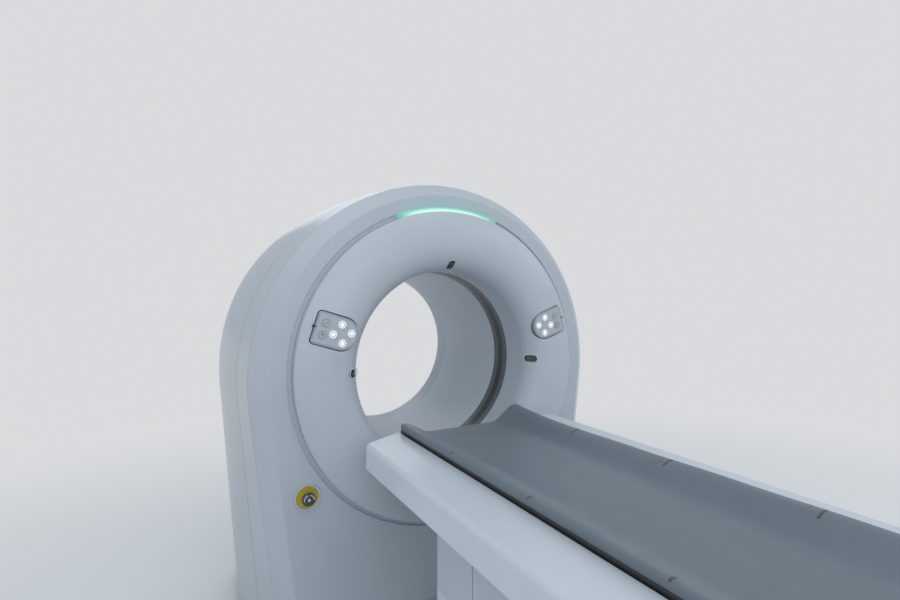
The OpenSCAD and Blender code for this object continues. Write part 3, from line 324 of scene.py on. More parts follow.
def machined(name, tint, gloss=0.3, along="Y", lay=700.0):
    """Bright machined metal with a fine lay of tool marks, oil film and handling stains."""
    stretch = {"X": (4.0, lay, lay), "Y": (lay, 4.0, lay), "Z": (lay, lay, 4.0)}[along]
    f = Finish(name, Metallic=1.0)
    marks = f.noise(1.0, 2.0, 0.6, f.place(stretch))
    film = f.noise(7.0, 5.0, 0.65)
    stain = film.step(0.55, 0.8)
    shade = f.mix(stain * 0.55, tinted(tint, 1.05), (tint[0] * 0.72, tint[1] * 0.66, tint[2] * 0.58))
    return f.wear(Base_Color=shade, Roughness=gloss + (marks - 0.5) * 0.16 + stain * 0.12,
                  Normal=f.bump(marks, 0.12, 0.0002))


def cast(name, tint, gloss=0.5):
    """Sand-cast alloy: grainy skin with machined brightness worn into it."""
    f = Finish(name, Metallic=1.0)
    sand = f.cells(260.0)
    cloud = f.noise(9.0, 6.0, 0.62)
    return f.wear(Base_Color=f.mix(cloud.step(0.3, 0.7), tinted(tint, 0.82), tinted(tint, 1.12)),
                  Roughness=gloss + (cloud - 0.5) * 0.25,
                  Normal=f.bump(sand * 0.7 + cloud * 0.3, 0.35, 0.0006))


# Mesh helpers

def dress(nodes, material):
    """Gives nodes of the part one material."""
    for name in nodes:
        mesh = NODES[name].data
        mesh.materials.clear()
        mesh.materials.append(material)


def in_slot(*slots):
    """Nodes of the part in these material slots."""
    return [n for n, s in SLOTS.items() if s in slots]


def soften(nodes, angle=24.0):
    """Shades a node's facets as one smooth skin between its real edges."""
    for name in nodes:
        piece = NODES[name]
        if "custom_normal" in piece.data.attributes:
            piece.data.attributes.remove(piece.data.attributes["custom_normal"])
        for face in piece.data.polygons:
            face.use_smooth = True
        join = piece.modifiers.new("Join", "WELD")
        join.merge_threshold = 0.00002
        edge = piece.modifiers.new("Edge", "EDGE_SPLIT")
        edge.split_angle = math.radians(angle)
        edge.use_edge_sharp = False


def piece(name, bm, material, body, slot, smooth=30.0):
    """Turns a mesh into a piece that rides on a body, with edges sharp beyond an angle in degrees."""
    mesh = bpy.data.meshes.new(name)
    bmesh.ops.recalc_face_normals(bm, faces=bm.faces)
    limit = math.radians(smooth)
    for face in bm.faces:
        face.smooth = smooth > 0
    for edge in bm.edges:
        if len(edge.link_faces) == 2 and edge.calc_face_angle(0.0) > limit:
            edge.smooth = False
    bm.to_mesh(mesh)
    bm.free()
    mesh.materials.append(material)
    made = bpy.data.objects.new(name, mesh)
    bpy.context.scene.collection.objects.link(made)
    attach(made, body)
    return made


def sleeve(bm, rows):
    """Joins rows of points, each row closed in itself."""
    count = len(rows[0])
    for near, far in zip(rows, rows[1:]):
        for i in range(count):
            j = (i + 1) % count
            bm.faces.new((near[i], near[j], far[j], far[i]))


def bar(bm, rows):
    """The same with both ends closed."""
    sleeve(bm, rows)
    bm.faces.new(rows[0])
    bm.faces.new(rows[-1][::-1])


def prism(bm, outline, back, front, place=lambda x, y, z: (x, y, z)):
    """Solid between two copies of an outline in X and Z, at two places along Y."""
    low = [bm.verts.new(place(x, back, z)) for x, z in outline]
    high = [bm.verts.new(place(x, front, z)) for x, z in outline]
    count = len(outline)
    bm.faces.new(low)
    bm.faces.new(high[::-1])
    for i in range(count):
        j = (i + 1) % count
        bm.faces.new((low[i], high[i], high[j], low[j]))


def turned(bm, profile, centre, steps=32):
    """Ring or boss turned about an axis along Y from points of (radius, place along Y)."""
    rings = []
    for k in range(steps):
        a = 2 * math.pi * k / steps
        rings.append([bm.verts.new((centre[0] + r * math.cos(a), y, centre[1] + r * math.sin(a)))
                      for r, y in profile])
    sleeve(bm, rings + rings[:1])


def arc(cx, cz, r, start, end, steps):
    angles = [math.radians(start + (end - start) * i / steps) for i in range(steps + 1)]
    return [(cx + r * math.cos(a), cz + r * math.sin(a)) for a in angles]


def track(half, straight, steps):
    """Outline of a slot with round ends."""
    return ([(straight + u, v) for u, v in arc(0.0, 0.0, half, -90, 90, steps)]
            + [(-straight + u, v) for u, v in arc(0.0, 0.0, half, 90, 270, steps)])


def ramp(value, low, span):
    """Straight climb from 0 at low to 1 one span further, held at both ends."""
    return min(1.0, max(0.0, (value - low) / span))


def ease(t):
    return t * t * (3 - 2 * t)


# Stage

class SCANNER_OT_stage(bpy.types.Operator):
    """Camera, soft studio light and a plain pale floor"""
    bl_idname = "scanner.stage"
    bl_label = "Camera, light and floor"

    def execute(self, context):
        tints = context.scene.scanner_colours
        lens = bpy.data.cameras.new("view_camera")
        camera = bpy.data.objects.new("view_camera", lens)
        context.scene.collection.objects.link(camera)
        camera.location = (-0.911, -1.860, 1.243)
        camera.rotation_euler = (math.radians(90.0), 0.0, math.radians(-29.55))
        lens.lens = context.scene.scanner_sizes.focal
        lens.sensor_width = 36.0
        lens.shift_x = -0.01026
        lens.shift_y = -0.01255
        lens.clip_start = 0.02
        lens.clip_end = 200.0
        context.scene.camera = camera

        for name, place, size, power, aim in (
                ("lamp_over", (-0.6, -1.4, 3.6), (4.2, 3.4), 27.0, (0.0, -0.4, 0.6)),
                ("lamp_front", (-1.2, -4.4, 2.0), (3.4, 2.4), 31.0, (0.0, 0.0, 0.8)),
                ("lamp_left", (-3.6, -1.6, 2.4), (0.5, 3.4), 3.0, (0.0, 0.2, 0.8)),
                ("lamp_right", (3.4, -2.0, 2.8), (2.6, 2.0), 18.0, (0.0, -0.3, 0.8)),
                ("lamp_rear", (1.2, 3.6, 2.9), (3.0, 2.0), 15.0, (0.0, 0.5, 0.8))):
            light = bpy.data.lights.new(name, "AREA")
            light.shape = "RECTANGLE"
            light.size, light.size_y = size
            light.energy = power
            light.color = (0.97, 0.985, 1.0)
            lamp = bpy.data.objects.new(name, light)
            lamp.location = place
            lamp.rotation_euler = (Vector(aim) - Vector(place)).to_track_quat("-Z", "Y").to_euler()
            context.scene.collection.objects.link(lamp)

        context.scene.view_settings.view_transform = "Standard"
        world = bpy.data.worlds.new("studio")
        context.scene.world = world
        w = Writer(world)
        rays = w.node("ShaderNodeLightPath").socket.node.outputs
        seen, through = (Value(w, rays[n]) for n in ("Is Camera Ray", "Is Transmission Ray"))
        lit = w.node("ShaderNodeBackground", None, (0.80, 0.86, 0.92), 0.66)
        plain = w.node("ShaderNodeBackground", None, tints.behind, 1.0)
        sky = w.blend(seen.highest(through), lit, plain)
        w.node("ShaderNodeOutputWorld", None, sky, out=None)

        bm = bmesh.new()
        bmesh.ops.create_circle(bm, cap_ends=True, radius=60.0, segments=96)
        mesh = bpy.data.meshes.new("floor")
        bm.to_mesh(mesh)
        bm.free()
        f = Finish("floor_resin", Specular_IOR_Level=0.3)
        x, y, z = f.parts()
        far = f.distance(x, y + 1.0).step(1.7, 4.4)
        speck = f.noise(90.0, 4.0, 0.7)
        cloud = f.noise(1.1, 3.0, 0.5)
        shade = f.mix(speck * 0.5 + cloud * 0.5, tinted(tints.floor, 0.97), tinted(tints.floor, 1.03))
        f.wear(Base_Color=shade, Roughness=0.55 + (cloud - 0.5) * 0.1, Normal=f.bump(speck, 0.05, 0.0004))
        glow = f.node("ShaderNodeEmission", None, tints.behind, 1.0)
        f.feed(f.out.inputs["Surface"], f.blend(far, f.shader, glow))
        mesh.materials.append(f.material)
        floor = bpy.data.objects.new("floor", mesh)
        floor.location.z = -0.0005
        context.scene.collection.objects.link(floor)
        return {"FINISHED"}


# Gantry covers

class SCANNER_OT_covers(bpy.types.Operator):
    """Lacquer of the gantry covers, the ring panel, the liners and the smoked scan window"""
    bl_idname = "scanner.covers"
    bl_label = "Gantry covers"

    def execute(self, context):
        tints = context.scene.scanner_colours
        dress(in_slot("cover_white"), lacquer("cover_lacquer", tints.cover, 0.34, 0.3, 0.16, tints.status))
        dress(in_slot("ring_white"), lacquer("ring_gel_coat", tints.ring, 0.38, 0.22))
        liners = ["bore_liner_upper", "bore_liner_lower"]
        dress(liners, lacquer("liner_gel_coat", tints.liner, 0.44, 0.12))
        soften(["front_cover", "middle_cover", "outer_shell", "rear_cover", "ring_panel", "rear_funnel",
                *liners, "scan_window", "base_cover", "mid_cover", "skirt_front", "skirt_rear"])

        f = Finish("smoked_window", Specular_IOR_Level=0.22)
        x, y, z = f.parts()
        streak = f.noise(1.0, 3.0, 0.6, f.place((6.0, 260.0, 6.0)))
        mottle = f.noise(70.0, 5.0, 0.7)
        # The lighter streaks are painted reflections on the smoked window
        painted_reflection_streaks = (streak * 0.6 + mottle * 0.4).step(0.35, 0.7)
        shade = f.mix(painted_reflection_streaks, tints.window, tinted(tints.window, 1.9))
        # The window's colour is also made lighter towards both its edges along Y
        shade = f.mix(y.size().step(0.012, 0.024), shade, tinted(tints.window, 4.0))
        f.wear(Base_Color=shade, Roughness=0.24 + (mottle - 0.5) * 0.12,
               Normal=f.bump(streak, 0.06, 0.0003))
        dress(in_slot("window_clear"), f.material)
        return {"FINISHED"}


class SCANNER_OT_status(bpy.types.Operator):
    """Green light strip over the bore, white along its inner edge, with its row of light cells"""
    bl_idname = "scanner.status"
    bl_label = "Status light"

    def execute(self, context):
        tints = context.scene.scanner_colours
        f = Finish("status_strip", Roughness=0.5, Emission_Strength=1.0)
        x, y, z = f.parts()
        turn, radius = f.about_bore(x, z)
        # Light cells as a wave along the arc, and the strip's reach to each side, in radians
        rate, reach = 150.0, 0.37
        cell = (turn * rate).sine() * 0.5 + 0.5
        middle = 1.0 - (turn.size() / reach).step(0.45, 1.0)
        grain = f.noise(500.0, 2.0, 0.5)
        bright = f.mix(middle, tinted(tints.status, 0.85), (0.50, 0.86, 0.70))
        bright = f.mix(middle * (1.0 - radius.step(0.571, 0.578)), bright, (0.86, 0.93, 0.91))
        bright = f.mix(radius.step(0.576, 0.584), bright, tinted(tints.status, 0.82))
        lit = f.mix(cell * 0.25 + grain * 0.1, bright, tinted(tints.status, 0.8))
        lit = f.mix(turn.size().step(0.29, 0.38), lit, tinted(tints.status, 0.62))
        f.wear(Base_Color=f.mix(cell, (0.05, 0.14, 0.11), (0.07, 0.20, 0.15)), Emission_Color=lit,
               Normal=f.bump(cell, 0.3, 0.0004))
        dress(in_slot("status_green"), f.material)
        soften(["status_light"])
        return {"FINISHED"}


# Laser windows

# The funnel's section is a quarter of an ellipse; its mouth begins at FUNNEL_Y
FUNNEL_OUT, FUNNEL_DEEP, FUNNEL_Y = 0.100, 0.085, -0.138
LASER_TURN = math.radians(36.5)
LASER_R = BORE_R + FUNNEL_OUT * (1 - math.cos(LASER_TURN))
LASER_Y = FUNNEL_Y - FUNNEL_DEEP * math.sin(LASER_TURN)
LASER_TILT = math.atan2(FUNNEL_OUT * math.sin(LASER_TURN), FUNNEL_DEEP * math.cos(LASER_TURN))
# Section of a bezel, as growth of the window's outline and height above the funnel
BEZEL = ((1.0, -0.0012), (1.0, 0.0007), (1.06, 0.0011), (1.14, 0.0008), (1.19, -0.0008))


def laser_places():
    """Frames on the funnel: name, origin, direction out of the surface, along the slot and across it."""
    deep = Vector((0, 1, 0))
    for name, a in (("right", 0.0), ("top", math.pi / 2), ("left", math.pi)):
        out = Vector((math.cos(a), 0, math.sin(a)))
        around = Vector((-math.sin(a), 0, math.cos(a)))
        origin = Vector((0, LASER_Y, BORE_Z)) + out * LASER_R
        along = (deep * math.cos(LASER_TILT) - out * math.sin(LASER_TILT)).normalized()
        yield name, origin, -(out * math.cos(LASER_TILT) + deep * math.sin(LASER_TILT)), along, around


class SCANNER_OT_lasers(bpy.types.Operator):
    """Black glass windows of the positioning lasers, each with a pale bezel and three slits"""
    bl_idname = "scanner.lasers"
    bl_label = "Laser windows"

    def execute(self, context):
        tints = context.scene.scanner_colours
        f = Finish("laser_glass", IOR=1.5, Coat_Roughness=0.03)
        smear = f.noise(60.0, 5.0, 0.65)
        f.wear(Base_Color=f.mix(smear.step(0.4, 0.8), tints.laser, tinted(tints.laser, 2.2)),
               Roughness=0.1 + smear * 0.12, Coat_Weight=0.7 + smear * 0.2,
               Normal=f.bump(smear, 0.02, 0.0002))
        dress(in_slot("laser_black"), f.material)
        soften(["laser_windows"])
        bezel = moulded("laser_bezel", tinted(tints.ring, 1.30), 0.35, 1200.0, 0.00006)
        slit = moulded("laser_slit", (0.16, 0.18, 0.20), 0.3, 1400.0, 0.00006)
        outline = track(0.0135, 0.0135, 12)
        for name, origin, normal, along, around in laser_places():
            def place(u, h, v):
                sag = LASER_R - math.sqrt(LASER_R ** 2 - v * v)
                return origin + along * u + around * v + normal * (h + sag)

            bm = bmesh.new()
            rings = [[bm.verts.new(place(u * (1 + (grow - 1) * 0.6), h, v * grow)) for u, v in outline]
                     for grow, h in BEZEL]
            sleeve(bm, rings + rings[:1])
            piece(f"laser_bezel_{name}", bm, bezel, "gantry", "ring_white", 40.0)
            bm = bmesh.new()
            for middle in (-0.0095, 0.0, 0.0095):
                dash = [(middle + u, v) for u, v in ((-0.0036, -0.0011), (0.0036, -0.0011), (0.0036, 0.0011),
                                                     (-0.0036, 0.0011))]
                prism(bm, dash, -0.0012, 0.0001, place)
            piece(f"laser_slit_{name}", bm, slit, "gantry", "laser_black", 40.0)
        return {"FINISHED"}


# Control panels

# A panel is tilted about the bore axis. PANEL_X is how far out its round end of PANEL_R has its
# centre, and PANEL_END how far its square end is from there
PANEL_TILT = math.radians(18.0)
PANEL_X, PANEL_R, PANEL_END = 0.439, 0.054, 0.093
# Latch at the square end: its middle, and its back and front along Y
LATCH_X, LATCH_Z, LATCH_Y = 0.5070, 1.1246, (-0.2005, -0.2190)
# Turn of the arrow on each lit key, and the other signs as outlines about a key's middle
KEY_TURNS = {"up": 0.0, "down": 180.0, "in": 90.0, "out": -90.0}
TICK = ((-0.0064, -0.0004), (-0.0046, 0.0016), (-0.0018, -0.0016), (0.0050, 0.0058), (0.0068, 0.0040),
        (-0.0018, -0.0054))
BULB_Z = 0.0014
RAY = ((0.0056, 0.0005), (0.0078, 0.0005), (0.0078, -0.0005), (0.0056, -0.0005))


def arrow(turn):
    """Arrow pointing up, turned by so many degrees."""
    points = [(-0.0024, -0.0062), (0.0024, -0.0062), (0.0024, -0.0004), (0.0062, -0.0004), (0.0, 0.0072),
              (-0.0062, -0.0004), (-0.0024, -0.0004)]
    c, s = math.cos(math.radians(turn)), math.sin(math.radians(turn))
    return [(x * c - z * s, x * s + z * c) for x, z in points]


def bulb():
    """Lamp with its foot."""
    return arc(0.0, BULB_Z, 0.0042, -55.0, 235.0, 16) + [(-0.0016, -0.0046), (0.0016, -0.0046)]


class SCANNER_OT_controls(bpy.types.Operator):
    """Control panels, their latches, lit arrow keys, plain keys and the signs on them"""
    bl_idname = "scanner.controls"
    bl_label = "Control panels"

    def face(self, side, mirror, tint):
        """Soft-touch face with painted shade darkening it towards its rim, and a thin band of painted shade
        just inside the rim.
        """
        f = Finish(f"panel_soft_touch_{side}")
        x, y, z = f.parts()
        c, s = math.cos(PANEL_TILT), math.sin(PANEL_TILT)
        along = x * (mirror * c) + (z - BORE_Z) * s - PANEL_X
        across = (z - BORE_Z) * c - x * (mirror * s)
        inside = (f.distance(along.lowest(0.0), across) - PANEL_R).highest(along - PANEL_END)
        # Painted shade: a thin dark band inside the rim and a darkening towards the rim, where shade falls
        # at the edge of the panel's well
        painted_shade_line = inside.band((-0.0078, -0.0070), (-0.0066, -0.0058))
        rim = (inside.step(-0.0085, -0.0010) * 0.8).highest(painted_shade_line * 0.45)
        grit = f.cells(1500.0)
        cloud = f.noise(14.0, 4.0, 0.6)
        shade = f.mix(cloud.step(0.3, 0.7), tinted(tint, 0.97), tinted(tint, 1.03))
        return f.wear(Base_Color=f.mix(rim, shade, tinted(tint, 0.66)), Roughness=0.42 + (cloud - 0.5) * 0.1,
                      Normal=f.bump(grit, 0.25, 0.00008))

    def lit(self, side, key, cx, cz, tint):
        """Arrow key lit from behind, with a bright ring and a bright middle."""
        f = Finish(f"glow_{side}_{key}", Roughness=0.35, Emission_Strength=1.0)
        x, y, z = f.parts()
        away = f.distance(x - cx, z - cz)
        rim = away.band((0.0088, 0.0100), (0.0118, 0.0128))
        hot = (1.0 - away.step(0.001, 0.0080)) * 0.35 + rim * 0.60
        grain = f.noise(900.0, 2.0, 0.5)
        return f.wear(Base_Color=f.mix(grain, (0.24, 0.26, 0.29), (0.28, 0.31, 0.34)),
                      Emission_Color=f.mix(hot + grain * 0.08, tinted(tint, 0.26), tint),
                      Normal=f.bump(grain, 0.05, 0.0001))

    def latch(self, side, mirror, material):
        """Small dark latch across the square end's rim."""
        out = Vector((mirror * math.cos(PANEL_TILT), 0, math.sin(PANEL_TILT)))
        up = Vector((-mirror * math.sin(PANEL_TILT), 0, math.cos(PANEL_TILT)))
        middle = Vector((mirror * LATCH_X, 0, LATCH_Z))
        bm = bmesh.new()
        prism(bm, track(0.0022, 0.0035, 8), *LATCH_Y,
              lambda x, y, z: middle + out * x + up * z + Vector((0, y, 0)))
        piece(f"panel_latch_{side}", bm, material, "gantry", "laser_black", 40.0)

    def execute(self, context):
        tints = context.scene.scanner_colours
        stand = context.scene.scanner_sizes.icon_t
        dress(in_slot("key_grey"), moulded("key_plain", tints.key, 0.38, 1800.0, 0.00006))
        soften(["control_panel_left", "control_panel_right"])
        raised = moulded("sign_raised", tints.sign, 0.45, 1600.0, 0.00005)
        latch = moulded("panel_latch", tints.laser, 0.4, 900.0, 0.00008)
        f = Finish("sign_lit", Roughness=0.4, Emission_Strength=1.0)
        spread = f.noise(700.0, 2.0, 0.5)
        printed = f.wear(Base_Color=f.mix(spread, (0.76, 0.78, 0.80), (0.86, 0.88, 0.90)),
                         Emission_Color=f.mix(spread, (0.90, 0.94, 1.0), (1.0, 1.0, 1.0)))
        for side, mirror in (("left", -1), ("right", 1)):
            dress([f"control_panel_{side}"], self.face(side, mirror, tints.panel))
            self.latch(side, mirror, latch)
        for side, mirror in (("left", -1), ("right", 1)):
            for key in ("up", "down", "in", "out", "confirm", "light"):
                node = f"{side}_button_{key}"
                low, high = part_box(node)
                cx, cz, face = (low.x + high.x) / 2, (low.z + high.z) / 2, low.y
                back, front = face - 0.00002, face - stand
                soften([node], 35.0)
                if key in KEY_TURNS:
                    dress([node], self.lit(side, key, cx, cz, tints.glow))
                    outlines = [arrow(KEY_TURNS[key] * (mirror if key in ("in", "out") else 1))]
                elif key == "confirm":
                    outlines = [TICK]
                else:
                    outlines = [bulb()]
                    for a in map(math.radians, (-20, 35, 90, 145, 200)):
                        c, s = math.cos(a), math.sin(a)
                        outlines.append([(r * c - t * s, BULB_Z + r * s + t * c) for r, t in RAY])
                bm = bmesh.new()
                for outline in outlines:
                    prism(bm, [(cx + x, cz + z) for x, z in outline], back, front)
                if key not in KEY_TURNS:
                    edge = face - stand * 0.8
                    turned(bm, [(0.0112, back), (0.0112, edge), (0.0126, edge), (0.0126, back)], (cx, cz))
                material, smooth = (printed, 0) if key in KEY_TURNS else (raised, 30.0)
                piece(f"sign_{side}_{key}", bm, material, f"key_{side}_{key}", "key_grey", smooth)
        return {"FINISHED"}


# Emergency stop

class SCANNER_OT_stop(bpy.types.Operator):
    """Emergency stop: yellow disc, grey twist head with grip ribs, turning arrows and a pale hub"""
    bl_idname = "scanner.stop"
    bl_label = "Emergency stop"

    def dish(self, cx, cz, tints):
        """Yellow disc in a flange of cover lacquer, with a painted highlight as a pale ring round the disc
        and a thin band of painted shade round that.
        """
        f = Finish("stop_dish", Coat_Roughness=0.1)
        x, y, z = f.parts()
        away = f.distance(x - cx, z - cz)
        grit = f.cells(1400.0)
        cloud = f.noise(30.0, 4.0, 0.6)
        disc = 1.0 - away.step(0.0352, 0.0357)
        # Painted highlight: a pale ring on the flange round the disc
        pale = away.band((0.0360, 0.0370), (0.0405, 0.0420))
        # Painted shade: a thin dark band round the pale ring
        painted_shade_line = away.band((0.0418, 0.0430), (0.0442, 0.0449))
        flange = f.mix(cloud, tinted(tints.cover, 0.96), tinted(tints.cover, 1.04))
        flange = f.mix(pale * 0.8, flange, tinted(tints.cover, 1.28))
        flange = f.mix(painted_shade_line * 0.8, flange, tinted(tints.cover, 0.62))
        yellow = f.mix(cloud, tinted(tints.yellow, 0.88), tinted(tints.yellow, 1.1))
        return f.wear(Base_Color=f.mix(disc, flange, yellow), Coat_Weight=0.4 - disc * 0.3,
                      Roughness=0.3 + disc * 0.12 + (cloud - 0.5) * 0.08, Normal=f.bump(grit, 0.15, 0.00006))

    def rib(self, bm, a, cx, cz, radius, face):
        """Grip rib on the side of the head, at an angle about its axis."""
        out = Vector((math.cos(a), 0, math.sin(a)))
        side = Vector((-math.sin(a), 0, math.cos(a)))
        at = Vector((cx, face, cz)) + out * (radius - 0.0003)
        bar(bm, [[bm.verts.new(at + side * t + out * (lift * q) + Vector((0, back, 0)))
                  for t, q in ((-0.0011, 0.0), (-0.0006, 0.85), (0.0006, 0.85), (0.0011, 0.0))]
                 for back, lift in ((0.0052, 0.0002), (0.0060, 0.0011), (0.0092, 0.0011), (0.0098, 0.0002))])

    def turn_arrow(self, bm, cx, cz, start, end, face):
        """Raised arrow along an arc, lying on the head and its chamfer."""
        middle, chamfer, half, head = 0.0155, 0.015, 0.0014, 0.0030
        spans = [(start + (end - start) * i / 12, half) for i in range(13)] + [(end, head)]
        spans += [(end - 24.0 * i / 5, head * (1 - i / 5.3)) for i in range(1, 6)]
        rows = []
        for a, wide in spans:
            c, s = math.cos(math.radians(a)), math.sin(math.radians(a))
            over, under = [], []
            for q in (-1.0, -0.5, 0.0, 0.5, 1.0):
                r = middle + q * wide
                y = face + max(0.0, (r - chamfer) / 0.004 * 0.0015)
                over.append(bm.verts.new((cx + r * c, y - 0.0004, cz + r * s)))
                under.append(bm.verts.new((cx + r * c, y + 0.0006, cz + r * s)))
            rows.append(over + under[::-1])
        bar(bm, rows)

    def execute(self, context):
        tints = context.scene.scanner_colours
        low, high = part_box("estop_head")
        cx, cz, face = (low.x + high.x) / 2, (low.z + high.z) / 2, low.y
        dress(in_slot("stop_yellow"), self.dish(cx, cz, tints))
        dress(in_slot("stop_grey"), moulded("stop_twist_head", tints.head, 0.4, 1100.0, 0.0001))
        soften(["estop_dish", "estop_head"], 32.0)
        grip = moulded("stop_grip", tinted(tints.head, 0.8), 0.55, 900.0, 0.0002)
        pale = moulded("stop_marks", (0.55, 0.58, 0.60), 0.4, 1500.0, 0.00005)
        bm = bmesh.new()
        for k in range(36):
            self.rib(bm, 2 * math.pi * k / 36, cx, cz, (high.x - low.x) / 2, face)
        piece("stop_grip_ribs", bm, grip, "stop", "stop_grey", 40.0)
        bm = bmesh.new()
        turned(bm, [(0.0001, face - 0.0002), (0.0001, face - 0.0011), (0.0034, face - 0.0010),
                    (0.0044, face - 0.0006), (0.0047, face - 0.0002)], (cx, cz))
        piece("stop_hub", bm, pale, "stop", "stop_grey", 30.0)
        bm = bmesh.new()
        for start, end in ((190.0, 128.0), (78.0, 16.0)):
            self.turn_arrow(bm, cx, cz, start, end, face)
        piece("stop_turn_arrows", bm, pale, "stop", "stop_grey", 40.0)
        return {"FINISHED"}


# Machinery behind the covers

class SCANNER_OT_machinery(bpy.types.Operator):
    """Finishes of the plinth, frame, bearing, rotor, tube, drive, fans and lifting gear"""
    bl_idname = "scanner.machinery"
    bl_label = "Machinery"

    def execute(self, context):
        dress(in_slot("base_steel"), coated("plinth_coat", (0.085, 0.092, 0.100), 0.5))
        dress(in_slot("frame_steel"), coated("frame_coat", (0.30, 0.32, 0.345), 0.46))
        dress(in_slot("bare_steel"), machined("ground_steel", (0.60, 0.61, 0.62), 0.28, "Z"))
        dress(in_slot("drum_alloy"), cast("drum_casting", (0.66, 0.67, 0.68), 0.42))
        dress(in_slot("unit_dark"), coated("unit_coat", (0.045, 0.050, 0.056), 0.42))
        dress(in_slot("tube_metal"), machined("tube_housing", (0.50, 0.52, 0.54), 0.34, "Y", 300.0))
        dress(in_slot("detector_steel"), machined("detector_case", (0.42, 0.44, 0.47), 0.36, "X", 420.0))
        dress(in_slot("table_alloy"), machined("table_rails", (0.62, 0.63, 0.65), 0.33, "Y", 500.0))
        dress(in_slot("duct_grey"), moulded("duct_shell", (0.36, 0.39, 0.42), 0.46, 700.0, 0.0002))
        dress(in_slot("fan_black"), moulded("fan_nylon", (0.020, 0.021, 0.023), 0.5, 600.0, 0.0002))

        f = Finish("track_brass", Metallic=1.0)
        x, y, z = f.parts()
        groove = (y * 2300.0).sine() * 0.5 + 0.5
        worn = f.noise(20.0, 5.0, 0.6)
        f.wear(Base_Color=f.mix(groove * 0.6 + worn * 0.3, (0.66, 0.46, 0.20), (0.86, 0.68, 0.38)),
               Roughness=0.22 + worn * 0.2, Normal=f.bump(groove, 0.25, 0.0006))
        dress(in_slot("ring_brass"), f.material)

        f = Finish("belt_rubber", Specular_IOR_Level=0.3)
        x, y, z = f.parts()
        rib = (y * 1400.0).sine() * 0.5 + 0.5
        dust = f.noise(45.0, 6.0, 0.7)
        f.wear(Base_Color=f.mix(dust.step(0.5, 0.85), (0.016, 0.016, 0.017), (0.075, 0.075, 0.078)),
               Roughness=0.62 + dust * 0.2, Normal=f.bump(rib, 0.4, 0.0008))
        dress(in_slot("belt_rubber"), f.material)
        soften(in_slot("bare_steel", "drum_alloy", "ring_brass", "belt_rubber", "fan_black", "tube_metal",
                       "detector_steel", "unit_dark"), 28.0)
        return {"FINISHED"}


# Patient table

class SCANNER_OT_table(bpy.types.Operator):
    """Lacquered side beams and foot cover, and the carbon cradle"""
    bl_idname = "scanner.table"
    bl_label = "Patient table"

    def execute(self, context):
        tints = context.scene.scanner_colours
        dress(in_slot("beam_white"), lacquer("beam_lacquer", tints.beam, 0.36, 0.25))
        soften(["beam_left", "beam_right", "foot_cover"], 26.0)
        f = Finish("cradle_carbon", Coat_Roughness=0.12)
        x, y, z = f.parts()
        weave = ((y * 2000.0).sine() * (x * 2000.0).sine()).step(-0.4, 0.4)
        cloud = f.noise(6.0, 4.0, 0.6)
        shade = f.mix(weave * 0.6 + cloud * 0.3, tinted(tints.cradle, 0.75), tinted(tints.cradle, 1.5))
        f.wear(Base_Color=shade, Roughness=0.38 + (cloud - 0.5) * 0.1, Coat_Weight=0.4 + (cloud - 0.5) * 0.2,
               Normal=f.bump(weave, 0.08, 0.0002))
        dress(in_slot("cradle_grey"), f.material)
        soften(["cradle"], 26.0)
        return {"FINISHED"}


# Pad and straps

def flank(sizes, x, depth):
    """Height of the pad's flank at a depth under its skin."""
    k = (x - sizes.flat_half) / (sizes.lip_x - sizes.flat_half)
    return sizes.pad_top - depth + sizes.lip_rise * (1 - math.cos(math.pi * k)) / 2


def pad_side(sizes, depth):
    """Right half of the pad's section at a depth under its skin, as points of (x, z)."""
    steps, bends, turn = 10, 9, 25.0
    lip_z = sizes.pad_top + sizes.lip_rise - sizes.lip_r
    places = [sizes.flat_half + (sizes.lip_x - sizes.flat_half) * i / steps for i in range(steps + 1)]
    r = sizes.lip_r - depth
    angles = [math.radians(90 - (90 + turn) * i / bends) for i in range(1, bends + 1)]
    return ([(x, flank(sizes, x, depth)) for x in places]
            + [(sizes.lip_x + r * math.cos(a), lip_z + r * math.sin(a)) for a in angles])


